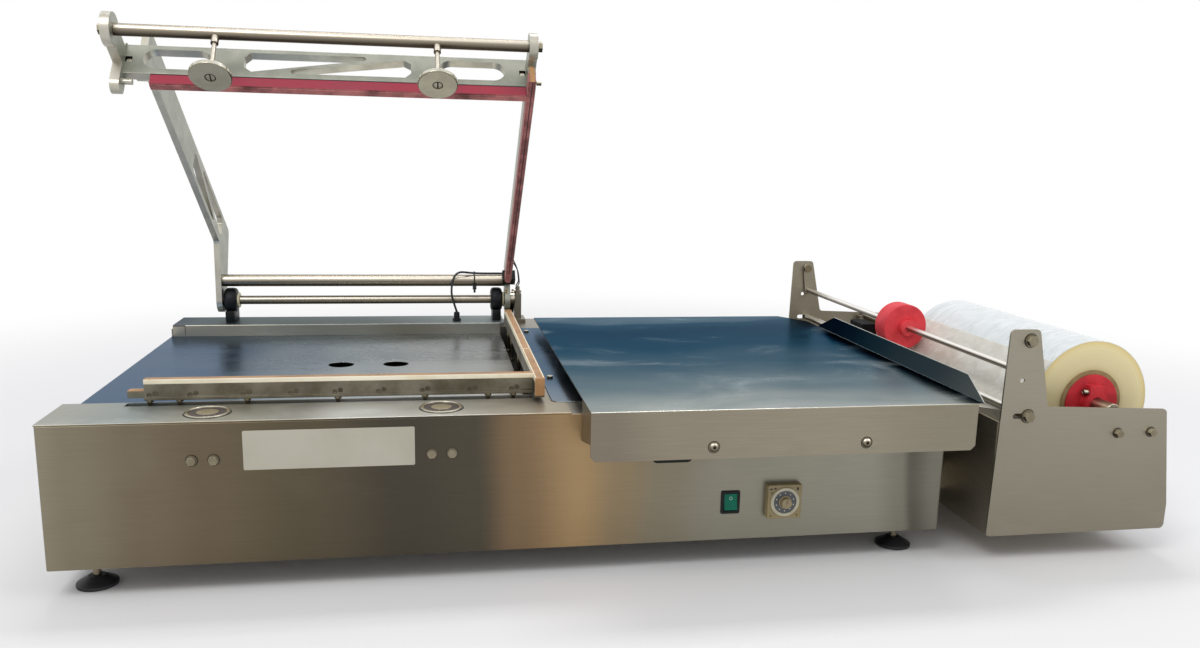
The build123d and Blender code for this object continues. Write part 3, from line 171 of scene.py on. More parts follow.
# ---- metal finishes ----------------------------------------------------------
def brushed_steel(name, shades, axis, grain, roughness=0.34, tint="#ffffff", haze="#a8aaa6",
                  haze_share=0.25, haze_size=170, streak=0.16, relief=0.10, wander=70,
                  painted_reflection=None):
    """Stainless sheet brushed one way, with hazy handling marks.

    shades are (millimetres along the axis, colour). The real grain is finer than 0.3 mm, and
    its streaks are drawn 1.6 mm wide so that they show. The last argument is (x where it starts,
    x where it is full, colour): a painted reflection of a dark neighbour at the right, darkening
    the sheet towards it.
    """
    steel, shader = start(name, shades[0][1], 1.0, roughness, Specular_Tint=tint)
    coords = add(steel, "TexCoord").outputs["Object"]
    drift = add(steel, "TexNoise", {"Vector": coords, "Scale": per(420), "Detail": 2.0})
    shifted = add(steel, "VectorMath", {0: drift.outputs["Color"], 1: (0.5, 0.5, 0.5)},
                  operation="SUBTRACT")
    moved = add(steel, "VectorMath", {0: shifted.outputs[0], 1: (wander / 250,) * 3, 2: coords},
                operation="MULTIPLY_ADD")
    along = add(steel, "SeparateXYZ", {0: moved.outputs[0]})
    low, high = shades[0][0], shades[-1][0]
    offset = DECK["XYZ".index(axis)]
    spread = add(steel, "MapRange", {"Value": along.outputs[axis],
                                     "From Min": (low - offset) / 1000,
                                     "From Max": (high - offset) / 1000})
    tone = add(steel, "ValToRGB", {0: spread.outputs[0]},
               stops=[((at - low) / (high - low), shade) for at, shade in shades])
    tone.color_ramp.interpolation = "EASE"
    grain_scale = [per(1.6)] * 3
    grain_scale["XYZ".index(grain)] = per(60)
    lines = add(steel, "Mapping", {"Vector": coords, "Scale": grain_scale})
    brushing = add(steel, "TexNoise", {"Vector": lines.outputs[0], "Scale": 1.0, "Detail": 3.0,
                                       "Roughness": 0.65})
    brushed = add(steel, "MapRange", {"Value": brushing.outputs["Fac"], "From Min": 0.25,
                                      "From Max": 0.75, "To Min": 1 - streak,
                                      "To Max": 1 + streak})
    grained = add(steel, "VectorMath", {0: tone.outputs[0], 1: brushed.outputs[0]},
                  operation="MULTIPLY")
    # A band of painted reflection, darkening the sheet towards a dark neighbour at the right.
    if painted_reflection:
        across = add(steel, "SeparateXYZ", {0: coords})
        nearness = add(steel, "MapRange", {"Value": across.outputs["X"],
                                           "From Min": (painted_reflection[0] - DECK.x) / 1000,
                                           "From Max": (painted_reflection[1] - DECK.x) / 1000},
                       interpolation_type="SMOOTHSTEP")
        cast = add(steel, "Mix", {0: nearness.outputs[0], 6: "#ffffff", 7: painted_reflection[2]},
                   data_type="RGBA")
        grained = add(steel, "VectorMath", {0: grained.outputs[0], 1: cast.outputs[2]},
                      operation="MULTIPLY")
    cloud_scale = [per(haze_size)] * 3
    cloud_scale["XYZ".index(grain)] = per(haze_size * 1.7)
    clouds = add(steel, "Mapping", {"Vector": coords, "Scale": cloud_scale})
    marks = add(steel, "TexNoise", {"Vector": clouds.outputs[0], "Scale": 1.0, "Detail": 7.0,
                                    "Roughness": 0.62, "Distortion": 0.6})
    veil = add(steel, "MapRange", {"Value": marks.outputs["Fac"], "From Min": 0.52,
                                   "From Max": 0.74, "To Max": haze_share},
               interpolation_type="SMOOTHSTEP")
    add(steel, "Mix", {0: veil.outputs[0], 6: grained.outputs[0], 7: haze}, data_type="RGBA",
        into=(shader, "Base Color", 2))
    add(steel, "MapRange", {"Value": marks.outputs["Fac"], "From Min": 0.3, "From Max": 0.75,
                            "To Min": roughness - 0.05, "To Max": roughness + 0.14},
        into=(shader, "Roughness", 0))
    add(steel, "Bump", {"Height": brushing.outputs["Fac"], "Strength": relief, "Distance": 0.0004},
        into=(shader, "Normal", 0))
    return steel


# The cabinet's front: taupe stainless brushed along the panel. Its tone is painted reflection:
# it darkens to the middle and turns tan where the tray starts.
panel_steel = brushed_steel(
    "brushed_stainless_front_panel",
    [(0, "#8a8370"), (30, "#807865"), (100, "#736856"), (170, "#6a5f4d"), (300, "#5a5242"),
     (430, "#4a453c"), (520, "#504b40"), (565, "#7c6850"), (640, "#a08662"), (700, "#8c7c62"),
     (770, "#847d6b"), (860, "#8b887a"), (1060, "#8f8d80"), (1110, "#7e7b6f"),
     (1125, "#5d5b51"), (1163, "#77756a")],
    "X", "X", haze="#8d887b", haze_share=0.16, haze_size=260, streak=0.055, wander=26)
# The cabinet's other sides and its deck: the same sheet, plainer.
side_steel = brushed_steel("brushed_stainless_cabinet", [(0, "#8d887c"), (1163, "#8a877c")],
                           "X", "X", haze="#a3a096", haze_share=0.3)
end_steel = brushed_steel("brushed_stainless_ends", [(0, "#8b8678"), (712, "#84807a")],
                          "Y", "Y", haze="#a3a096", haze_share=0.3)
# The strip in front of the seal bar: the brightest of the sheets, with a soft white haze; its
# tone along its length is painted reflection.
strip_steel = brushed_steel(
    "bright_stainless_strip_painted_reflection",
    [(0, "#a9aaa6"), (90, "#98a0a0"), (170, "#a9a79b"), (280, "#a1a098"), (350, "#cbccc7"),
     (470, "#c2c1ba"), (560, "#b8b3a6"), (640, "#a39a8a")],
    "X", "X", roughness=0.42, tint="#e4e2da", haze="#d6d6d1", haze_share=0.35, haze_size=90,
    streak=0.06, wander=30)
# The well's floor: mill-finish sheet, near a mirror; its dark blue to the left and pale to the
# right is a painted reflection of a dark blue room.
well_steel = brushed_steel(
    "reflective_stainless_well_floor",
    [(0, "#6b7b90"), (110, "#68788e"), (220, "#a6aeb4"), (320, "#c6cac9"), (430, "#d6d5cf"),
     (600, "#dcd9d0")],
    "X", "X", roughness=0.24, tint="#b6bec6", haze="#c2c6c6", haze_share=0.22, haze_size=150,
    streak=0.04, relief=0.03)
# The rail along the back: the same sheet, folded, duller past its middle.
rail_steel = brushed_steel(
    "folded_stainless_rail", [(0, "#9b978c"), (120, "#a29d8f"), (250, "#88877f"),
                              (400, "#78766e"), (598, "#8d8d88")],
    "X", "X", roughness=0.36, tint="#b4b7b6", haze="#bcbfbd", haze_share=0.2, streak=0.06)
# Its top: a painted reflection of a dark ceiling, bluer to the left.
rail_top_steel = brushed_steel(
    "shaded_rail_top", [(0, "#4f5c6a"), (70, "#6c767c"), (290, "#798080"), (598, "#a3acab")],
    "X", "X", roughness=0.34, tint="#b4b7b6", haze="#b4bab9", haze_share=0.25, streak=0.06)
# The transfer plate: bright-rolled sheet whose tone is a painted reflection of a dull blue room.
transfer_steel = brushed_steel(
    "dark_reflecting_transfer_plate", [(56, "#c3c6c8"), (170, "#97a2ad"), (330, "#8794a2"),
                                       (600, "#9aa6b1")],
    "Y", "Y", roughness=0.22, tint="#8896a6", haze="#b9c0c4", haze_share=0.3, streak=0.05)
# The trough under the seal bars: the cabinet's sheet, darkened with painted shade.
trough_steel = brushed_steel("shadowed_trough_steel", [(0, "#57554f"), (640, "#4d4c48")],
                             "X", "X", haze="#6f6d66", roughness=0.4)
# The tray's top: its tone is a painted reflection of a dark blue room at the back, greying to
# the front edge, and darkened by a painted reflection of the flange at its right; pale wiping
# marks lie over it.
tray_top_steel = brushed_steel(
    "wiped_stainless_tray_top",
    [(-72, "#f1efe4"), (-30, "#dbdcd2"), (60, "#b1bab8"), (180, "#83939b"), (330, "#5e7483"),
     (480, "#496476"), (550, "#5a7486"), (575, "#90a3ad"), (600, "#9cafb8")],
    "Y", "X", roughness=0.2, tint="#7a8a98", haze="#dfe5e4", haze_share=0.45, haze_size=120,
    streak=0.04, relief=0.04, wander=60, painted_reflection=(1128, 1166, "#3f4b50"))
# The tray's apron: sheet brushed along, with small cloudy wiping marks.
apron_steel = brushed_steel("brushed_stainless_apron", [(651, "#80786a"), (760, "#8e8675"),
                                                        (1000, "#938c7b"), (1168, "#8a8474")],
                            "X", "X", haze="#7b7365", haze_share=0.22, haze_size=80,
                            streak=0.07)
# The tray's raised flange: the top's bright sheet stood up; its dark tone is painted reflection.
flange_steel = brushed_steel("dark_reflecting_tray_flange",
                             [(-72, "#4f5352"), (120, "#3b4347"), (490, "#25343d")], "Y", "Y",
                             roughness=0.25, tint="#6c7478", haze="#5c676c", haze_share=0.3,
                             streak=0.05)
# The film cradle's plates: matt blasted stainless, a warm and even grey.
cradle_steel = brushed_steel("matt_stainless_cradle", [(-183, "#8b8576"), (109, "#979283")],
                             "Z", "X", roughness=0.42, haze="#a19c8e", haze_share=0.3,
                             haze_size=140, streak=0.05, relief=0.05)
# The cradle's pan: matt stainless, paler than the plates as painted light where it stands in
# shade, and cloudy with dust.
cradle_side_steel = brushed_steel("cradle_pan_painted_light", [(-183, "#b5ad9d"), (-20, "#aca392")],
                                  "Z", "Y", roughness=0.4, tint="#a8a398", haze="#837c6e",
                                  haze_share=0.3)


def smooth_metal(name, colour, roughness, mottle, size=9, relief=0.12, metallic=1.0, painted_sky=()):
    """Machined, plated or cast metal with a faint mottle and a fine surface.

    The last argument is (how far up a face looks, from -1 to 1, shade): a painted reflection of
    the room that bright metal gives back.
    """
    metal, shader = start(name, colour, metallic, roughness)
    places = add(metal, "TexCoord")
    coords = places.outputs["Object"]
    patches = add(metal, "TexNoise", {"Vector": coords, "Scale": per(size * 6), "Detail": 6.0,
                                      "Roughness": 0.6})
    shade = add(metal, "MapRange", {"Value": patches.outputs["Fac"], "From Min": 0.3,
                                    "From Max": 0.7}, interpolation_type="SMOOTHSTEP")
    skin = add(metal, "Mix", {0: shade.outputs[0], 6: colour, 7: mottle}, data_type="RGBA")
    # The base colour is multiplied by a painted reflection, set by which way the face looks.
    if painted_sky:
        looking = add(metal, "SeparateXYZ", {0: places.outputs["Normal"]})
        height = add(metal, "MapRange", {"Value": looking.outputs["Z"], "From Min": -1.0})
        room = add(metal, "ValToRGB", {0: height.outputs[0]},
                   stops=[((up + 1) / 2, tone) for up, tone in painted_sky])
        skin = add(metal, "Mix", {0: 1.0, 6: room.outputs[0], 7: skin.outputs[2]},
                   data_type="RGBA", blend_type="MULTIPLY")
    metal.node_tree.links.new(skin.outputs[2], shader.inputs["Base Color"])
    add(metal, "MapRange", {"Value": patches.outputs["Fac"], "To Min": max(roughness - 0.06, 0.04),
                            "To Max": roughness + 0.1}, into=(shader, "Roughness", 0))
    fine = add(metal, "TexNoise", {"Vector": coords, "Scale": per(size / 6), "Detail": 3.0})
    add(metal, "Bump", {"Height": fine.outputs["Fac"], "Strength": relief, "Distance": 0.0003},
        into=(shader, "Normal", 0))
    return metal


# Sand-cast aluminium, lightly blasted and lacquered: pale satin grey with a fine tooth.
cast_aluminium = smooth_metal("satin_cast_aluminium", "#a6a79c", 0.46, "#989a90", size=6,
                              relief=0.22)
# The same casting on the beam, darker as painted shade since its face looks down.
cast_beam = smooth_metal("shaded_cast_aluminium", "#96978c", 0.46, "#86887e", size=6,
                         relief=0.22)
# Cast faces picked by the way they look: smoother than the cast skin, and brighter as painted
# light.
cast_painted_light = smooth_metal("cast_faces_painted_light", "#bdb9ad", 0.38, "#aeaa9e", size=5, relief=0.12)
# Ground and polished round bar: a painted reflection streaks it light and dark along its length.
BAR_PAINTED_SKY = [(-1.0, "#a39c90"), (-0.88, "#4a443c"), (-0.6, "#59534a"), (-0.2, "#847d72"),
           (0.2, "#a59f94"), (0.42, "#d2cdc3"), (0.58, "#f3efe7"), (0.76, "#a8a196"),
           (1.0, "#7d766b")]
# Bright drawn rod: a painted reflection, white along its top, dark and light streaks below.
ROD_PAINTED_SKY = [(-1.0, "#7a746b"), (-0.7, "#45403a"), (-0.35, "#a8a299"), (-0.05, "#6f6a62"),
           (0.25, "#a9a49c"), (0.55, "#f7f4ee"), (0.85, "#ffffff"), (1.0, "#c9c4bb")]
# Bolt heads: painted light above, painted shade below.
BOLT_PAINTED_SKY = [(-1.0, "#47423a"), (-0.45, "#4f4a41"), (-0.12, "#8f897b"), (0.12, "#a19b8d"),
            (0.4, "#f2efe6"), (0.8, "#ffffff"), (1.0, "#d9d5ca")]
polished_bar = smooth_metal("polished_stainless_bar", "#f4f0e9", 0.34, "#ece7de", size=150,
                            relief=0.0, painted_sky=BAR_PAINTED_SKY)
bright_rod = smooth_metal("bright_drawn_rod", "#ffffff", 0.3, "#f3f0ea", size=150, relief=0.0,
                          painted_sky=ROD_PAINTED_SKY)
# Zinc plate, passivated clear: bright, a little warm, with the bolt heads' painted light and
# shade.
zinc = smooth_metal("bright_zinc_fastener", "#efeadd", 0.28, "#cfc9ba", size=3, relief=0.08,
                    painted_sky=BOLT_PAINTED_SKY)
# Old zinc washers: flat and grey. Screw rings worn to bare dark metal.
dull_washer = smooth_metal("dull_zinc_washer", "#7f796b", 0.4, "#6a6457", size=4)
worn_ring = smooth_metal("worn_screw_ring", "#696354", 0.45, "#4f4a3e", size=3)
# Guillotined sheet edges are bright. The pale line on the outside of a bend is a painted
# highlight.
cut_edge = smooth_metal("bright_sheared_edge", "#c3c4bd", 0.35, "#a9aaa3", size=4)
bend_highlight = smooth_metal("sheet_bend_painted_highlight", "#8b999f", 0.4, "#76858b", size=4)
# Turned discs under satin nickel plate, and their polished rims, near a mirror, in a painted
# reflection.
nickel = smooth_metal("turned_nickel_plate", "#a8a391", 0.42, "#9c9785", size=5, relief=0.06,
                      metallic=0.45)
nickel_rim = smooth_metal("polished_nickel_rim", "#e4e1d5", 0.2, "#cbc8ba", size=5,
                          painted_sky=[(-1.0, "#5e5a4f"), (-0.3, "#8d897b"), (0.1, "#c9c5b7"),
                               (0.5, "#ffffff"), (1.0, "#bdb9ab")])
# Extruded aluminium, dulled by its oxide and by heat.
bar_aluminium = smooth_metal("dull_extruded_aluminium", "#827d6f", 0.4, "#5f594b", size=9,
                             relief=0.12)
# Painted shadow where washers meet the sheet: dark brown, half dull.
washer_shadow_ring = smooth_metal("painted_washer_shadow", "#4f4a3d", 0.5, "#3b372e", size=3)
# Brass screws: yellow and bright.
brass = smooth_metal("brass_terminal_screw", "#b08d4c", 0.3, "#94733a", size=2)


# ---- plastics, rubber and tape -----------------------------------------------
def moulded(name, colour, roughness, mottle, size=4.0, relief=0.15, **sockets):
    """Moulded or printed plastic or rubber with a fine skin."""
    plastic, shader = start(name, colour, 0.0, roughness, **sockets)
    coords = add(plastic, "TexCoord").outputs["Object"]
    wear = add(plastic, "TexNoise", {"Vector": coords, "Scale": per(size * 8), "Detail": 6.0,
                                     "Roughness": 0.62})
    share = add(plastic, "MapRange", {"Value": wear.outputs["Fac"], "From Min": 0.35,
                                      "From Max": 0.7}, interpolation_type="SMOOTHSTEP")
    add(plastic, "Mix", {0: share.outputs[0], 6: colour, 7: mottle}, data_type="RGBA",
        into=(shader, "Base Color", 2))
    add(plastic, "MapRange", {"Value": wear.outputs["Fac"], "To Min": max(roughness - 0.1, 0.05),
                              "To Max": roughness + 0.12}, into=(shader, "Roughness", 0))
    skin = add(plastic, "TexNoise", {"Vector": coords, "Scale": per(size / 5), "Detail": 2.0})
    add(plastic, "Bump", {"Height": skin.outputs["Fac"], "Strength": relief, "Distance": 0.0002},
        into=(shader, "Normal", 0))
    return plastic


# Moulded natural rubber: dull and near black.
foot_rubber = moulded("moulded_foot_rubber", "#141415", 0.55, "#26262a", relief=0.3)
# Machined black nylon has a soft sheen, glass-filled mouldings a finer one, and acetal none.
black_nylon = moulded("black_nylon_bearing_block", "#0a0c0e", 0.42, "#14171a",
                      Specular_IOR_Level=0.2)
black_plastic = moulded("black_glass_filled_plastic", "#0e1011", 0.42, "#17191b", size=2,
                        Specular_IOR_Level=0.25)
black_block = moulded("black_machined_acetal", "#0a0b0c", 0.7, "#121314", size=4,
                      Specular_IOR_Level=0.12)
# Undyed nylon: cream and waxy.
cream_nylon = moulded("cream_nylon_bush", "#e6dcbc", 0.45, "#d3c6a0", size=3)
# Cast silicone rubber, dusty where the film has rubbed it.
seal_rubber = moulded("dusty_crimson_silicone", "#a13a49", 0.75, "#94434f", size=9, relief=0.3,
                      Specular_IOR_Level=0.2)
# The side rail's silicone: paler, smoother, as dusty.
pink_rubber = moulded("pink_silicone_rail", "#b07a76", 0.65, "#9c6460", size=8, relief=0.3,
                      Specular_IOR_Level=0.3)
# Sealing-band tape cooked to a coppery brown, and painted shade in the groove beside it.
band_copper = moulded("scorched_band_tape", "#b56f6c", 0.5, "#5d302e", size=5, relief=0.25)
groove_shade = moulded("groove_painted_shade", "#2c1c1b", 0.6, "#43292a", size=3)
# Paint-black shade at the bottom of screw pockets and sockets.
pocket_dark = moulded("shaded_screw_pocket", "#0b0c0c", 0.6, "#161717", size=3)
# Glass cloth coated with PTFE: tan, faintly woven, scorched where it has worked.
tape_brown = moulded("scorched_ptfe_glass_tape", "#b5895a", 0.48, "#9b7145", size=7, relief=0.25)
tape_cream = moulded("cream_ptfe_tape_edge", "#f4ecd4", 0.5, "#e2d6b4", size=9, relief=0.2)
# Red polyamide with a fine eroded skin, and the hubs' copy, darker as painted shade.
red_plastic = moulded("matt_red_polyamide", "#e5464d", 0.55, "#d53a42", size=3, relief=0.25,
                      Specular_IOR_Level=0.3)
hub_red = moulded("shaded_red_polyamide", "#cf2f38", 0.55, "#b5262f", size=3, relief=0.25,
                  Specular_IOR_Level=0.3)
# Tinted polycarbonate, deep green and glossy, with a pad-printed mark.
switch_green = moulded("green_polycarbonate_lens", "#08664f", 0.45, "#0a7a5e", size=3,
                       relief=0.04, Specular_IOR_Level=0.2)
switch_mark = moulded("white_switch_print", "#b9d8c9", 0.4, "#a4c8b8", size=2)
# The timer's ABS mouldings and print: beige case and knob, white ring, grey dial.
timer_beige = moulded("beige_moulded_timer_case", "#93835f", 0.45, "#87774f", size=3)
timer_white = moulded("white_timer_ring", "#bdb79f", 0.4, "#aaa48c", size=3)
dial_grey = moulded("dark_grey_timer_dial", "#55585a", 0.42, "#4b4e50", size=3)
dial_print = moulded("pale_dial_print", "#cfccba", 0.5, "#c2bfad", size=2)
knob_beige = moulded("beige_timer_knob", "#9c8d6c", 0.4, "#8b7c5b", size=2)
# Printed aluminium, left without words: pale and matt.
plate_print = moulded("bare_printed_name_plate", "#b3ae9d", 0.4, "#aaa593", size=12,
                      relief=0.05)
# Epoxy potting round the coils: dark brown, half matt.
coil_resin = moulded("dark_potting_resin", "#4c423e", 0.5, "#3b3330", size=6)
# Mild steel poles, yellowed and scuffed, with bright turned rims in a painted reflection.
pole_steel = smooth_metal("worn_magnet_pole", "#bfb296", 0.4, "#a3977b", size=4)
rim_steel = smooth_metal("turned_magnet_rim", "#e6e4db", 0.24, "#cfccc2", size=4,
                         painted_sky=[(-1.0, "#57524a"), (-0.2, "#6d685e"), (0.15, "#fffefb"),
                              (0.6, "#d6d2c6"), (1.0, "#b5b0a3")])
# Soft PVC sheath: black with a low sheen.
cable_black = moulded("soft_black_cable_sheath", "#18191b", 0.5, "#26282b", size=2)
# Spiral-wound board: matt, fibrous brown.
card = moulded("rolled_brown_card", "#9a8158", 0.75, "#836b45", size=2, relief=0.4)


def film_material(name, colour, mottle, roughness, alpha, ripple_mm, stretch):
    """Thin wrapping film: glossy, rippled, more or less clear."""
    film, shader = start(name, colour, 0.0, roughness, Alpha=alpha, Coat_Weight=0.35,
                         Coat_Roughness=0.12)
    coords = add(film, "TexCoord").outputs["Object"]
    pulled = add(film, "Mapping", {"Vector": coords,
                                   "Scale": [per(ripple_mm * s) for s in stretch],
                                   "Rotation": (0.0, 0.0, 0.35)})
    ripples = add(film, "TexNoise", {"Vector": pulled.outputs[0], "Scale": 1.0, "Detail": 5.0,
                                     "Roughness": 0.6, "Distortion": 1.2})
    folds = add(film, "MapRange", {"Value": ripples.outputs["Fac"], "From Min": 0.3,
                                   "From Max": 0.72}, interpolation_type="SMOOTHSTEP")
    add(film, "Mix", {0: folds.outputs[0], 6: colour, 7: mottle},
        data_type="RGBA", into=(shader, "Base Color", 2))
    add(film, "Bump", {"Height": ripples.outputs["Fac"], "Strength": 0.5, "Distance": 0.0012},
        into=(shader, "Normal", 0))
    return film


# Polyolefin shrink film: on the roll a pale skin pulled into ripples, alone nearly clear.
wound_film = film_material("wound_shrink_film", "#e6ebea", "#d0d6d4", 0.2, 1.0, 13,
                           (2.8, 0.75, 2.8))
clear_film = film_material("single_web_of_film", "#f8f5e8", "#e2dccb", 0.15, 0.7, 18,
                           (1.0, 1.6, 1.0))

# The roll's end: thousands of film edges, cream-yellow with faint year-ring lines 1.5 mm apart.
film_end, film_end_shader = start("yellowed_film_edges", "#d8cc8c", 0.0, 0.45)
end_coords = add(film_end, "TexCoord").outputs["Object"]
roll_centre = place(ROLL_X, 0, ROLL_Z)
centred = add(film_end, "VectorMath", {0: end_coords, 1: (-roll_centre.x, 0.0, -roll_centre.z)},
              operation="ADD")
flat_out = add(film_end, "VectorMath", {0: centred.outputs[0], 1: (1, 0, 1)}, operation="MULTIPLY")
radius = add(film_end, "VectorMath", {0: flat_out.outputs[0]}, operation="LENGTH")
rings = add(film_end, "TexNoise", {"W": radius.outputs["Value"], "Scale": per(1.5), "Detail": 3.0},
            noise_dimensions="1D")
outward = add(film_end, "MapRange", {"Value": radius.outputs["Value"],
                                     "From Min": CORE_RADIUS / 1000,
                                     "From Max": ROLL_RADIUS / 1000})
ring_tone = add(film_end, "ValToRGB", {0: outward.outputs[0]},
                stops=[(0.0, "#bba878"), (0.2, "#dccd9f"), (0.75, "#eddfad"),
                       (0.9, "#e3cb82"), (1.0, "#c8a24e")])
add(film_end, "Mix", {0: rings.outputs["Fac"], 6: ring_tone.outputs[0], 7: "#d8c996"},
    data_type="RGBA", into=(film_end_shader, "Base Color", 2))
add(film_end, "Bump", {"Height": rings.outputs["Fac"], "Strength": 0.35, "Distance": 0.0004},
    into=(film_end_shader, "Normal", 0))


# ---- pieces ------------------------------------------------------------------
SHARP_CORNER = math.radians(28)  # a CAD edge that is worn round
SHARP_SHADE = math.radians(38)  # an edge that the shading doesn't smooth over


def finished(name, bm, materials, body):
    """Makes a bmesh a piece of the object that rides on a body."""
    mesh = bpy.data.meshes.new(name)
    bm.to_mesh(mesh)
    bm.free()
    piece = bpy.data.objects.new(name, mesh)
    scene.collection.objects.link(piece)
    for material in materials:
        mesh.materials.append(material)
    mesh.shade_smooth()
    mesh.set_sharp_from_angle(angle=SHARP_SHADE)
    if body:
        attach(piece, body)
    return piece


def solid_of(node, material):
    """A CAD solid, in the material of the piece that takes its place."""
    source = frame["nodes"][node]
    source.data.materials.clear()
    source.data.materials.append(material)
    return source


def body_of(node):
    """The CAD body that a node belongs to."""
    return frame["nodes"][node]["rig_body"]


def dressed(node, materials, corner=0.4, segments=2, choose=None, lifted=False,
            without=None):
    """A copy of a CAD solid with its corners rounded as worked metal's are, in its materials.

    choose takes a face's centre in deck millimetres and its normal, and gives the number of its
    material. Faces whose centre is without()'s are left to a finer piece. A lifted piece is
    measured as if the head were closed.
    """
    bm = bmesh.new()
    bm.from_mesh(solid_of(node, materials[0]).data)
    bmesh.ops.remove_doubles(bm, verts=bm.verts, dist=2e-6)
    bmesh.ops.dissolve_limit(bm, angle_limit=math.radians(0.6), verts=bm.verts, edges=bm.edges)
    if corner:
        edges = [e for e in bm.edges if e.is_manifold and e.calc_face_angle(0) > SHARP_CORNER]
        bmesh.ops.bevel(bm, geom=edges, offset=corner / 1000, offset_type="OFFSET",
                        segments=segments, profile=0.5, affect="EDGES", clamp_overlap=True,
                        material=-1)
    back = LIFT.inverted() if lifted else Matrix.Identity(4)
    if without:
        bmesh.ops.delete(bm, geom=[f for f in bm.faces if without(
            f.calc_center_median() * 1000 + DECK)], context="FACES")
    for face in bm.faces:
        face.material_index = 0
        if choose:
            middle = (back @ face.calc_center_median()) * 1000 + DECK
            face.material_index = choose(middle, back.to_3x3() @ face.normal)
    piece = finished(node + "_finished", bm, materials, body_of(node))
    weighted = piece.modifiers.new("even_faces", "WEIGHTED_NORMAL")
    weighted.keep_sharp = True
    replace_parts(piece, node)


def turned(name, profile, places, materials, body, steps=48, hexagon=0.0, choose=None):
    """Pieces turned from one profile of (radius, height), one at each matrix, as one mesh.

    Points within the hexagon's radius are drawn to a hexagon, as in a socket screw.
    """
    bm = bmesh.new()
    for matrix in places:
        rows = [bm.verts.new((r, 0, z)) for r, z in profile]
        lines = [bm.edges.new(pair) for pair in zip(rows, rows[1:])]
        bmesh.ops.spin(bm, geom=rows + lines, axis=(0, 0, 1), cent=(0, 0, 0), dvec=(0, 0, 0),
                       angle=2 * math.pi, steps=steps, use_merge=True)
        for vert in [v for v in bm.verts if not v.tag]:
            reach = math.hypot(vert.co.x, vert.co.y)
            if 1e-6 < reach <= hexagon * 1.001:
                turn = math.atan2(vert.co.y, vert.co.x) % (math.pi / 3) - math.pi / 6
                vert.co.xy *= math.cos(math.pi / 6) / math.cos(turn)
            vert.co = matrix @ vert.co
            vert.tag = True
    bmesh.ops.remove_doubles(bm, verts=bm.verts, dist=1e-7)
    bmesh.ops.recalc_face_normals(bm, faces=bm.faces)
    if choose:
        for face in bm.faces:
            face.material_index = choose(face.calc_center_median() * 1000 + DECK, face.normal)
    return finished(name, bm, materials, body)


def ground_bar(node, way, lifted=False, metal=polished_bar):
    """A polished bar in a CAD cylinder's place, with its skin in unbroken strips."""
    back = LIFT.inverted() if lifted else Matrix.Identity(4)
    points = [(back @ v.co) * 1000 + DECK for v in solid_of(node, metal).data.vertices]
    low = Vector([min(p[i] for p in points) for i in range(3)])
    high = Vector([max(p[i] for p in points) for i in range(3)])
    axis = {"right": 0, "back": 1}[way]
    length, reach = high[axis] - low[axis], (high.z - low.z) / 2
    foot = (low + high) / 2
    foot[axis] = low[axis]
    edge = 0.6
    profile = [(0, 0), (reach - edge, 0), (reach, edge), (reach, length - edge),
               (reach - edge, length), (0, length)]
    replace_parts(turned(node + "_finished", profile, [spot(*foot, way, lifted)], [metal],
                       body_of(node), steps=72), node)


def blocks(name, boxes, materials, body, corner=0.0, lifted=False):
    """Boxes of (low x, high x, low y, high y, low z, high z) as one mesh."""
    bm = bmesh.new()
    for box in boxes:
        low, high = place(*box[::2]), place(*box[1::2])
        for vert in bmesh.ops.create_cube(bm, size=1.0)["verts"]:
            vert.co = [(low[i] + high[i]) / 2 + vert.co[i] * (high[i] - low[i]) for i in range(3)]
    if corner:
        bmesh.ops.bevel(bm, geom=list(bm.edges), offset=corner / 1000, offset_type="OFFSET",
                        segments=2, profile=0.5, affect="EDGES", clamp_overlap=True)
    if lifted:
        bmesh.ops.transform(bm, matrix=LIFT, verts=bm.verts)
    return finished(name, bm, materials, body)


def tube(name, runs, radius, materials, body, sides=14):
    """Round tubes, one along each run of points in metres, as one mesh."""
    bm = bmesh.new()
    for points in runs:
        side = Vector((0, 1, 0)).cross(points[1] - points[0])
        side = (side if side.length > 1e-7 else Vector((1, 0, 0))).normalized()
        before = None
        for at, point in enumerate(points):
            way = (points[min(at + 1, len(points) - 1)] - points[max(at - 1, 0)]).normalized()
            side = (side - side.dot(way) * way).normalized()
            other = way.cross(side)
            ring = [bm.verts.new(point + radius / 1000 * (
                math.cos(2 * math.pi * n / sides) * side
                + math.sin(2 * math.pi * n / sides) * other)) for n in range(sides)]
            if before:
                for n in range(sides):
                    bm.faces.new((before[n], before[(n + 1) % sides], ring[(n + 1) % sides],
                                  ring[n]))
            else:
                bm.faces.new(reversed(ring))
            before = ring
        bm.faces.new(before)
    bmesh.ops.recalc_face_normals(bm, faces=bm.faces)
    return finished(name, bm, materials, body)


def rounded(points, share=0.45, steps=10):
    """A run of points with each of its corners eased into a curve."""
    run = [points[0]]
    for before, corner, after in zip(points, points[1:], points[2:]):
        reach = share * min((corner - before).length, (after - corner).length)
        start_at = corner + reach * (before - corner).normalized()
        end_at = corner + reach * (after - corner).normalized()
        run += [start_at.lerp(corner, n / steps).lerp(corner.lerp(end_at, n / steps), n / steps)
                for n in range(steps + 1)]
    return run + [points[-1]]


# ---- cabinet, seal bars and hinge --------------------------------------------
def cabinet_face(middle, normal):
    if normal.y < -0.6 and middle.y < 3:
        return 0
    return 2 if abs(normal.x) > 0.6 else 1


def pole_face(middle, normal):
    reach = min(math.hypot(middle.x - x, middle.y - MAGNET_Y) for x in MAGNETS_X)
    return 1 if normal.z > 0.9 and reach < 12 else 0


def timer_face(middle, normal):
    if middle.y >= -11.05:
        return 0
    reach = math.hypot(middle.x - TIMER_X, middle.z - TIMER_Z)
    return 2 if reach < 16.2 and middle.y > -12.4 and normal.y < -0.5 else 1


def pad_face(middle, normal):
    if normal.y < -0.4 and 85 < middle.y < 95:
        return 1
    return 1 if abs(normal.x) > 0.4 and middle.z > 26 else 0


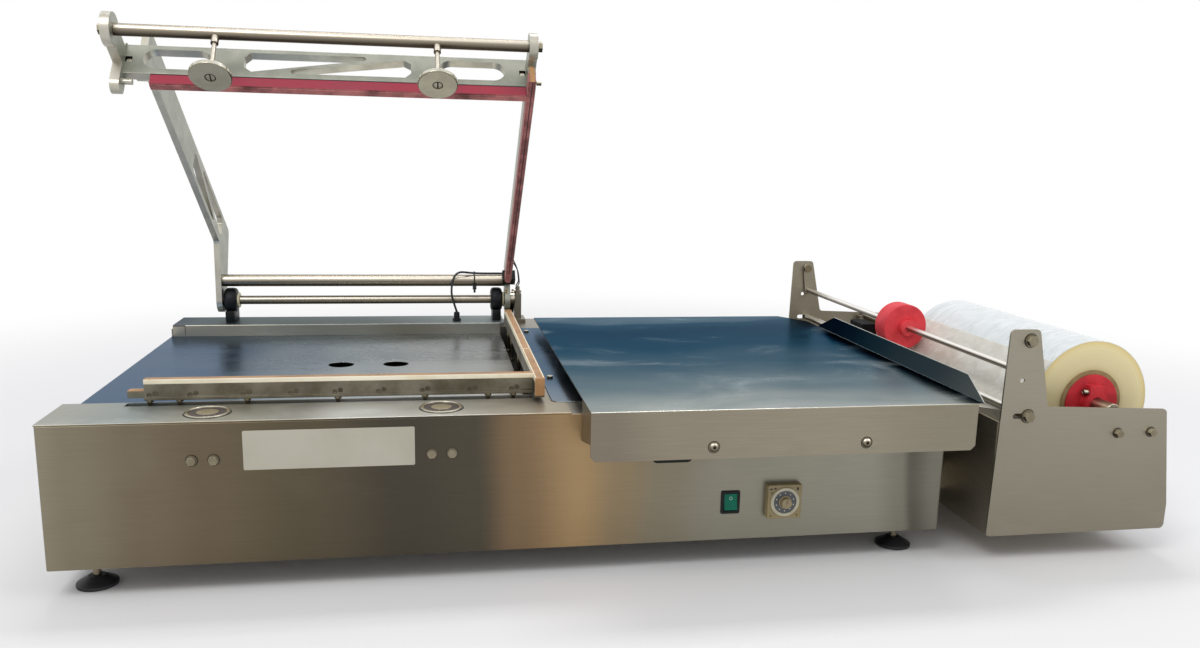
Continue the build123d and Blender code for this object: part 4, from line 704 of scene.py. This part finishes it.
dressed("cabinet", [panel_steel, side_steel, end_steel], corner=0.3,
        choose=cabinet_face)
dressed("front_strip", [strip_steel, panel_steel], corner=0.3,
        choose=lambda middle, normal: 1 if middle.y < 1 and normal.y < -0.8 else 0)
dressed("recess_plate", [well_steel], corner=0.3)
dressed("bar_channel", [trough_steel], corner=0)
dressed("rear_rail", [rail_steel, rail_top_steel],
        choose=lambda middle, normal: 1 if normal.z > 0.8 else 0)
dressed("transfer_plate", [transfer_steel], corner=0.3)
dressed("foot_pads", [foot_rubber], corner=0.8)
dressed("foot_studs", [zinc], corner=0.5)
dressed("magnet_pots", [rim_steel, pole_steel], choose=pole_face)
dressed("magnet_coils", [coil_resin], corner=0.3)
dressed("cabinet_bolts", [zinc, dull_washer], corner=0.5,
        choose=lambda middle, normal: 1 if -2.2 < middle.y < 0 and middle.z < -20 else 0)
dressed("name_plate", [plate_print], corner=0.3)
dressed("rocker_housing", [black_plastic], corner=0.3)
dressed("rocker", [switch_green], corner=0.6)
dressed("timer_body", [timer_beige, timer_white, dial_grey], corner=0.3,
        choose=timer_face)
dressed("timer_knob", [knob_beige], corner=0.2)
dressed("isolator_base", [black_plastic], corner=0.3)
dressed("isolator_grip", [red_plastic])
dressed("front_seal_bar", [bar_aluminium])
dressed("side_seal_bar", [bar_aluminium])
dressed("seal_pads", [tape_brown, tape_cream], corner=0.9, segments=3,
        choose=pad_face)
dressed("bar_studs", [zinc], corner=0.3)

# The hinge's bearings: round nylon heads on narrow feet.
PEDESTAL_HEAD = [(12, 0), (17, 0), (20, 1.0), (22.2, 3.4), (23, 7), (23, 15), (22.2, 18.6),
                 (20, 21), (17, 22), (12, 22), (12, 0)]
PEDESTALS_X = (97, 585)
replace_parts(turned("pedestal_heads", PEDESTAL_HEAD,
                   [spot(x - 11, HINGE_Y, HINGE_Z, "right") for x in PEDESTALS_X],
                   [black_nylon], "base", steps=72), "pedestals")
blocks("pedestal_feet", [(x - 8, x + 8, HINGE_Y - 25, HINGE_Y + 25, 5, 26) for x in PEDESTALS_X],
       [black_nylon], "base", corner=2.0)
dressed("bushes", [cream_nylon], corner=1.4, segments=3)
ground_bar("hinge_shaft", "right")
dressed("stop_post", [polished_bar], corner=0.5)
dressed("stop_collar", [zinc], corner=0.5)
dressed("cable_gland", [black_plastic])


# ---- sealing head ------------------------------------------------------------
def beam_face(middle, normal):
    # Pocket faces take painted shade, faces that look up, down or endways take painted light, and
    # the rest the beam's painted shade.
    in_pocket = min(abs(middle.x - 67), abs(middle.x - 593)) < 5.2 and 70 < middle.z < 80.5
    if in_pocket and 88.5 < middle.y < 97:
        return 2
    return 1 if abs(normal.y) < 0.3 else 0


dressed("head_beam", [cast_beam, cast_painted_light, pocket_dark], corner=1.1, segments=3,
        lifted=True, choose=beam_face)
# Faces of the left arm's end that don't look sideways take painted light.
dressed("left_arm", [cast_aluminium, cast_painted_light], corner=1.4, segments=3,
        lifted=True,
        choose=lambda middle, normal: 1 if abs(normal.x) < 0.3 and middle.x < 100 else 0)
dressed("right_arm", [cast_aluminium], corner=1.2, segments=3, lifted=True)
ground_bar("cross_tube", "right", lifted=True)
ground_bar("handle_tube", "right", lifted=True)
# Faces of the end brackets that don't look sideways take painted light.
dressed("end_brackets", [cast_aluminium, cast_painted_light], corner=1.6, segments=3,
        lifted=True, choose=lambda middle, normal: 1 if abs(normal.x) < 0.3 else 0)
dressed("disc_rods", [polished_bar], corner=0.5)
dressed("pull_discs", [nickel, nickel_rim], corner=0.35, lifted=True,
        choose=lambda middle, normal: 1 if abs(normal.z) < 0.9 else 0)
dressed("head_fasteners", [zinc, nickel], lifted=True,
        choose=lambda middle, normal: 1 if middle.z < 8 else 0)
dressed("upper_front_bar", [seal_rubber, band_copper], corner=0.7, lifted=True,
        choose=lambda middle, normal: 1 if normal.z < -0.7 else 0)
dressed("upper_side_bar", [pink_rubber, band_copper], corner=0.7, lifted=True,
        choose=lambda middle, normal: 1 if abs(normal.x) < 0.1 and normal.z < -0.7 else 0)
dressed("seal_bands", [band_copper, tape_brown], corner=0.2, lifted=True,
        choose=lambda middle, normal: 1 if middle.y < 61.5 else 0)
dressed("terminal_block", [black_plastic], corner=0.6)


# ---- tray, cradle and roll ---------------------------------------------------
def tray_face(middle, normal):
    if middle.y < -69 and normal.z < 0.7:
        return 1
    if middle.x > 1172 and normal.z > 0.6 and normal.x > 0.2:
        return 3
    if middle.x > 1169 or (normal.x < -0.2 and normal.z > 0.2 and middle.x > 1100):
        return 2
    return 0 if normal.z > 0.5 else 1


def guide_face(middle, normal):
    reach = math.hypot(middle.x - GUIDE_X, middle.z - GUIDE_Z)
    return 1 if 399 < middle.y < 409 and reach > GUIDE_RADIUS + 0.2 else 0


dressed("tray", [tray_top_steel, apron_steel, flange_steel, cut_edge], corner=0.3,
        choose=tray_face)
dressed("tray_runners", [side_steel, zinc],
        choose=lambda middle, normal: 1 if middle.y < -70.5 else 0,
        without=lambda middle: middle.y < APRON_Y - 0.2)
dressed("tray_rails", [end_steel], corner=0.3)
dressed("cradle_plates", [cradle_steel], corner=0.35)
dressed("cradle_pan", [cradle_side_steel], corner=0.3)
dressed("cradle_bolts", [zinc, dull_washer], corner=0.5,
        choose=lambda middle, normal: 1 if CRADLE_Y - 2.2 < middle.y < CRADLE_Y else 0)
dressed("dancer_links", [cradle_steel], corner=0.5)
ground_bar("dancer_rod", "back", metal=bright_rod)
dressed("collar", [red_plastic], corner=1.0, segments=3)
dressed("guide_rod", [bright_rod, black_plastic], choose=guide_face)
dressed("perforator_block", [black_block], corner=0.8)
dressed("core", [card], corner=0.3)
dressed("roll_hubs", [hub_red], corner=0.8)
ground_bar("roll_shaft", "back")
dressed("shaft_brackets", [cradle_steel], corner=0.5)


# ---- film, cable and small parts ---------------------------------------------
def wound_roll():
    """The wound film: a cylinder that ripples where its turns have shrunk, with flat ends.

    The ripples die out over the last 45 mm at each end, where the turns are held.
    """
    rows, steps, held = 96, 192, 45
    end = [(CORE_RADIUS, 0), (60, 0), (75, 0), (88.8, 0), (89.7, 0.5)]
    profile = [(r, ROLL_FRONT + inset) for r, inset in end]
    profile += [(ROLL_RADIUS, ROLL_FRONT + 1.5 + n * (ROLL_REAR - ROLL_FRONT - 3) / rows)
                for n in range(rows + 1)]
    profile += [(r, ROLL_REAR - inset) for r, inset in reversed(end)] + profile[:1]
    bm = bmesh.new()
    line = [bm.verts.new((r, y, 0)) for r, y in profile]
    edges = [bm.edges.new(pair) for pair in zip(line, line[1:])]
    bmesh.ops.spin(bm, geom=line + edges, axis=(0, 1, 0), cent=(0, 0, 0), dvec=(0, 0, 0),
                   angle=2 * math.pi, steps=steps, use_merge=True)
    for vert in bm.verts:
        y, reach = vert.co.y, round(math.hypot(vert.co.x, vert.co.z), 1)
        turn = round(math.atan2(vert.co.z, vert.co.x) * steps / (2 * math.pi)) % steps
        turn *= 2 * math.pi / steps
        if reach == ROLL_RADIUS:
            seat = Vector((math.cos(turn) * 3.2, y / 62, math.sin(turn) * 3.2))
            waves = noise.fractal(seat, 0.8, 2.2, 4)
            fine = noise.noise(Vector((turn * 9, y / 9 + turn * 5, 2.0)))
            free = min(1.0, (y - ROLL_FRONT) / held, (ROLL_REAR - y) / held)
            reach += free * (0.42 * waves + 0.05 * fine) - 0.3
        vert.co = place(ROLL_X + reach * math.cos(turn), y, ROLL_Z + reach * math.sin(turn))
    bmesh.ops.remove_doubles(bm, verts=bm.verts, dist=1e-7)
    bmesh.ops.recalc_face_normals(bm, faces=bm.faces)
    for face in bm.faces:
        offset = (face.calc_center_median() - roll_centre) * 1000
        face.material_index = 1 if math.hypot(offset.x, offset.z) < 88.85 else 0
    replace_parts(finished("wound_film_roll", bm, [wound_film, film_end], "film_reel"),
                "film_roll")


def rippled_web():
    """The single web of film from the roll, round the guide rod and in under the tray."""
    roll, guide = Vector((ROLL_X, ROLL_Z)), Vector((GUIDE_X, GUIDE_Z))
    gap = 0.65  # from the roll's or the rod's skin to the middle of the web
    roll_track, rod_track = ROLL_RADIUS + gap, GUIDE_RADIUS + gap
    span = guide - roll
    leave = math.atan2(span.y, span.x) - math.acos((roll_track + rod_track) / span.length)
    out = Vector((math.cos(leave), math.sin(leave)))
    edge = Vector((1163, -0.9))
    run = guide - edge
    lie = math.atan2(run.y, run.x) - math.asin(rod_track / run.length)
    part = guide + rod_track * Vector((math.sin(lie), -math.cos(lie)))
    corners = [roll + roll_track * out, guide - rod_track * out]
    first = math.atan2(-out.y, -out.x)
    last = math.atan2(part.y - guide.y, part.x - guide.x)
    swing = (last - first) % (2 * math.pi)
    swing = swing if swing < math.pi else swing - 2 * math.pi
    corners += [guide + rod_track * Vector((math.cos(first + swing * n / 10),
                                            math.sin(first + swing * n / 10)))
                for n in range(1, 11)]
    corners += [edge, Vector((1141, -1.75)), Vector((1063, -1.75))]
    path, free = [], []
    for here, there in zip(corners, corners[1:]):
        cuts = max(1, round((there - here).length / 4))
        for n in range(cuts):
            path.append(here.lerp(there, n / cuts))
            free.append(math.sin(math.pi * n / cuts) if cuts > 12 and there.y > -17 else 0.0)
    path.append(corners[-1])
    free.append(0.0)
    along, across = len(path) - 1, 94
    bm = bmesh.new()
    bmesh.ops.create_grid(bm, x_segments=along, y_segments=across, size=1.0)
    for vert in bm.verts:
        at = round((1 - vert.co.x) / 2 * along)
        n = round((1 + vert.co.y) / 2 * across)
        way = (path[min(at + 1, along)] - path[max(at - 1, 0)]).normalized()
        y = ROLL_FRONT + (ROLL_REAR - ROLL_FRONT) * n / across
        lift = free[at] * 0.5 * noise.noise(Vector((at / 9, y / 14, 4.0)))
        seat = path[at] + lift * Vector((-way.y, way.x))
        vert.co = place(seat.x, y, seat.y)
    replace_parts(finished("rippled_film_web", bm, [clear_film], "base"), "film_web")


wound_roll()
rippled_web()

# The cable runs from the gland at one end to the head at the other, as one fixed tube.
cable_run = rounded([place(509, 657, 22), place(497, 650, 60), place(506, 658, 99.5),
                     place(545, 673, 93.5), place(601, 673, 93.5)])
cable = tube("head_cable_sheath", [cable_run], 2.0, [cable_black], None)
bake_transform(cable)
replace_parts(cable, "head_cable")

# A nylon tie holds the cable to the cross tube.
tie_path = [place(543, 673 + r * math.sin(a), 80 + lift_mm + r * math.cos(a))
            for r, lift_mm, a in [(11.9, 0.0, math.radians(d)) for d in range(35, 326, 10)]
            + [(3.0, 13.5, math.radians(d)) for d in range(-50, 51, 20)]]
tie_path.append(tie_path[0])
tube("cable_tie_strap", [tie_path], 1.3, [cable_black], "head", sides=8)
blocks("cable_tie_tail", [(539.4, 546.6, 657.6, 662.4, 64.5, 71.5),
                          (541, 545, 659.6, 661.4, 58, 70)], [cable_black], "head",
       corner=0.4)

# Two cores run from the terminal block up the head's right arm.
cores = [[LIFT @ place(x, y, z) for x, y, z in run] for run in (
    [(619.2, 622, 40), (625, 618, 48), (622, 600, 66), (611.9, 585, 80)],
    [(619.2, 631, 40), (628, 634, 52), (625, 618, 74), (611.9, 606, 88)])]
tube("terminal_cores", [rounded(run) for run in cores], 1.1, [cable_black], "head",
     sides=10)
turned("terminal_screws", [(0, 1.2), (2.0, 1.2), (2.4, 0.8), (2.4, -0.5), (0, -0.5)],
       [spot(x, y, 31, "down", True) for x in (601, 613) for y in (622, 631)], [brass],
       "head", steps=24)

# ---- details on the cabinet and tray -----------------------------------------
def apron_screw_face(middle, normal):
    reach = min(math.hypot(middle.x - x, middle.z - APRON_SCREW_Z) for x in APRON_SCREWS_X)
    # The hex socket is painted shade.
    if reach < 2.25:
        return 1
    return 2 if reach > 5.9 else 0


SCREW_HEAD = [(6.9, 0), (6.9, 0.35), (5.9, 0.4), (5.8, 1.2), (5.2, 2.3), (4.1, 3.1), (2.7, 3.45),
              (2.3, 3.4), (2.1, 3.1), (2.1, 1.5), (0, 1.5)]
apron_screws = [spot(x, APRON_Y, APRON_SCREW_Z, "front") for x in APRON_SCREWS_X]
turned("apron_screw_heads", SCREW_HEAD, apron_screws, [zinc, pocket_dark, dull_washer], "tray",
       hexagon=2.3, choose=apron_screw_face)
RING_MARK = [(0, 0.12), (1.9, 0.12), (2.0, 0.45), (2.7, 0.5), (3.3, 0.3), (3.4, 0)]
turned("bar_screw_rings", RING_MARK, [spot(x + side * 3.6, 88, 12.5 + side * 1.2, "front")
                                      for x in (110, 159, 224, 283, 339, 395, 452, 515, 571)
                                      for side in (-1, 1)],
       [worn_ring], "base", steps=24)
blocks("bar_lower_lip", [(100.4, 596.2, 87.6, 88.1, 5.2, 10.6)], [bar_aluminium], "base",
       corner=0.15)
blocks("tongue_tape", [(80.2, 99.8, 87.9, 101.1, 16.9, 17.5)], [tape_brown], "base",
       corner=0.2)
blocks("tape_edges", [(596.8, 598.4, 62, 588.6, 31.8, 32.1), (607.6, 609.2, 62, 588.6, 31.8, 32.1),
                      (597, 609, 252, 255, 31.8, 32.1), (100.5, 596, 87.8, 88.4, 27.2, 27.8)],
       [tape_cream], "base", corner=0.1)
DOTS, DOTS_REACH = 10, 12.4
turned("timer_dots", [(0, 0.3), (0.75, 0.3), (0.85, 0)],
       [spot(TIMER_X + DOTS_REACH * math.sin(2 * math.pi * n / DOTS), -12,
             TIMER_Z + DOTS_REACH * math.cos(2 * math.pi * n / DOTS), "front")
        for n in range(DOTS)], [dial_print], "base", steps=16)
turned("timer_boss", [(7.4, 0), (8.9, 0), (8.9, 1.3), (8.3, 1.8), (7.4, 1.8), (7.4, 0)],
       [spot(TIMER_X, -12, TIMER_Z, "front")], [knob_beige], "base")
# Dark discs of painted shade where the timer's corner screw holes are.
turned("timer_corner_holes", [(0, 0.1), (1.0, 0.1), (1.1, 0)],
       [spot(TIMER_X + dx, -11, TIMER_Z + dz, "front") for dx, dz in (
           (-19, -19.5), (18, -19.5), (-19, 13), (17.5, 19))], [pocket_dark], "base",
       steps=16)
blocks("timer_corner_marks", [(907, 910.4, -11.15, -10.9, -111.5, -109.3),
                              (912.6, 916, -11.15, -10.9, -110.4, -108.4),
                              (944.6, 947.6, -11.15, -10.9, -112.6, -109.2)],
       [pocket_dark], "base")


def seated(node, x, z):
    """The matrix of a mark that lies on a CAD piece's front, at x and z."""
    mesh = frame["nodes"][node].data
    solid = BVHTree.FromPolygons([v.co for v in mesh.vertices],
                                 [p.vertices for p in mesh.polygons])
    where, normal, _, _ = solid.ray_cast(place(x, -60, z), (0, 1, 0))
    turn = normal.to_track_quat("Z", "Y").to_matrix().to_4x4()
    return Matrix.Translation(where) @ turn @ Matrix.Scale(0.001, 4)


turned("rocker_off_mark", [(1.7, 0), (1.7, 0.15), (2.3, 0.15), (2.3, 0)],
       [seated("rocker", 855.5, -124.2)], [switch_mark], "rocker", steps=32)

# Turned lips on the magnet rims, in the same painted reflection.
RIM_LIP = [(25.4, -0.1), (25.6, 0.5), (26.3, 0.8), (27.0, 0.5), (27.2, -0.1)]
turned("magnet_rim_lips", RIM_LIP, [spot(x, MAGNET_Y, 1.5) for x in MAGNETS_X], [rim_steel],
       "base", steps=96)
turned("magnet_hole_shadows", [(27.3, 0.1), (28.6, 0.1), (28.7, 0)],
       [spot(x, MAGNET_Y, 0) for x in MAGNETS_X], [pocket_dark], "base",
       steps=96)


def washer_shadow(reach):
    """The dark ring of painted shadow where a washer of that radius meets its sheet."""
    return [(reach - 0.2, 0), (reach - 0.2, 0.12), (reach + 0.9, 0.12), (reach + 1.1, 0)]


panel_bolts = [spot(x + side * 12.75, 0, -49, "front") for x in MAGNETS_X for side in (-1, 1)]
cradle_bolts = [spot(x, CRADLE_Y, -38.5, "front") for x in (1401, 1453)]
pivot_bolts = [spot(PIVOT_X, CRADLE_Y, PIVOT_Z, "front"),
               spot(GUIDE_X, CRADLE_Y, GUIDE_Z, "front")]
# Rings of painted shadow round the panel, cradle, pivot and apron bolts.
for bolts, washer, places, body in (("panel_bolt", 6.5, panel_bolts, "base"),
                                    ("cradle_bolt", 6.5, cradle_bolts, "base"),
                                    ("pivot_bolt", 9.0, pivot_bolts, "base"),
                                    ("apron_screw", 6.9, apron_screws, "tray")):
    turned(bolts + "_painted_shadows", washer_shadow(washer), places, [washer_shadow_ring], body)
# Painted shade in the open left end of the rear rail.
blocks("rail_end_painted_shade", [(3.4, 24, 627.6, 628.2, 2.6, 4.4), (23.6, 24.5, 627.6, 628.2, -13, 4.4)],
       [groove_shade], "base")
# A pale line of painted highlight on the outside of the flange's bend.
blocks("flange_bend_painted_highlight", [(1168.9, 1170.3, -68, 489, 19.0, 19.3)], [bend_highlight], "tray")
# A bright line of painted highlight along the flange's top edge.
tube("flange_top_painted_highlight", [[place(1170.2, -71, 19.6), place(1183.3, -6, 42.2),
                          place(1183.3, 448, 42.2)]], 0.7, [cut_edge], "tray",
     sides=8)

# ---- details on the head, rod and roll ---------------------------------------
# A ring of painted shadow under each disc screw.
turned("disc_screw_painted_shadows", [(5.7, 0), (5.7, 0.12), (7.0, 0.12), (7.1, 0)],
       [spot(x, MAGNET_Y, 1.8, "down", True) for x in MAGNETS_X], [washer_shadow_ring], "head")
# Dark strips of painted shade in the disc screws' slots.
blocks("disc_screw_slots", [(x - 0.9, x + 0.9, MAGNET_Y - 5.8, MAGNET_Y + 5.8, 2.6, 2.95)
                            for x in MAGNETS_X],
       [pocket_dark], "head", lifted=True)
blocks("beam_shadow_line", [(97.2, 596.2, 87.7, 88.2, 48.9, 50.2)], [pocket_dark], "head",
       lifted=True)
# Painted shade in the groove of the side bar.
blocks("side_groove", [(602.2, 603.7, 61, 567, 32.22, 32.6)], [groove_shade], "head",
       lifted=True)
CAP_SCREW = [(4.0, 0), (4.0, 6.4), (3.6, 7.0), (2.4, 7.0), (2.2, 6.8), (2.2, 3.6), (0, 3.6)]
turned("hub_clamp_screws", CAP_SCREW, [spot(1380, y, 9.5, "left") for y in (9.5, 405.5)],
       [polished_bar], "film_reel", steps=36, hexagon=2.4)

# ---- lights and floor --------------------------------------------------------
floor_mesh = bpy.data.meshes.new("floor")
floor_bm = bmesh.new()
bmesh.ops.create_grid(floor_bm, x_segments=1, y_segments=1, size=9.0)
floor_bm.to_mesh(floor_mesh)
floor_bm.free()
floor = bpy.data.objects.new("floor", floor_mesh)
scene.collection.objects.link(floor)
paper, paper_shader = start("white_studio_paper", "#f4f3f1", 0.0, 0.8)
paper_coords = add(paper, "TexCoord").outputs["Object"]
away = add(paper, "VectorMath", {0: paper_coords}, operation="LENGTH")
fade = add(paper, "MapRange", {"Value": away.outputs["Value"], "From Min": 0.9, "From Max": 2.4},
           interpolation_type="SMOOTHSTEP")
glow = add(paper, "Emission", {"Color": "#ffffff", "Strength": 1.0})
faded = add(paper, "MixShader", {0: fade.outputs[0], 1: paper_shader.outputs[0],
                                 2: glow.outputs[0]})
paper.node_tree.links.new(faded.outputs[0],
                          paper.node_tree.nodes["Material Output"].inputs["Surface"])
floor_mesh.materials.append(paper)

world = bpy.data.worlds.new("studio")
world.use_nodes = True
scene.world = world
soft = world.node_tree.nodes["Background"]
soft.inputs["Color"].default_value = linear("#f4f6ff")
soft.inputs["Strength"].default_value = 0.55
path = add(world, "LightPath")
seen = add(world, "Math", {0: path.outputs["Is Camera Ray"], 1: path.outputs["Is Glossy Ray"]},
           operation="MAXIMUM")
clear = add(world, "Math", {0: seen.outputs[0], 1: path.outputs["Is Transmission Ray"]},
            operation="MAXIMUM")
white = add(world, "Background", {"Color": "#ffffff", "Strength": 1.0})
both = add(world, "MixShader", {0: clear.outputs[0], 1: soft.outputs[0], 2: white.outputs[0]})
world.node_tree.links.new(both.outputs[0],
                          world.node_tree.nodes["World Output"].inputs["Surface"])


def lamp(name, at, aim, size, power):
    """A soft rectangular lamp."""
    light = bpy.data.lights.new(name, "AREA")
    light.shape = "RECTANGLE"
    light.size, light.size_y = size
    light.energy = power
    stand = bpy.data.objects.new(name, light)
    stand.location = at
    stand.rotation_euler = (Vector(aim) - Vector(at)).to_track_quat("-Z", "Y").to_euler()
    scene.collection.objects.link(stand)


lamp("key", (-1.3, -1.9, 2.6), (0.0, 0.0, 0.2), (1.6, 1.0), 34)
lamp("fill", (2.2, -1.6, 1.9), (0.2, 0.0, 0.2), (1.4, 1.0), 16)
lamp("top", (0.0, 0.6, 2.6), (0.0, 0.1, 0.1), (2.2, 0.5), 20)
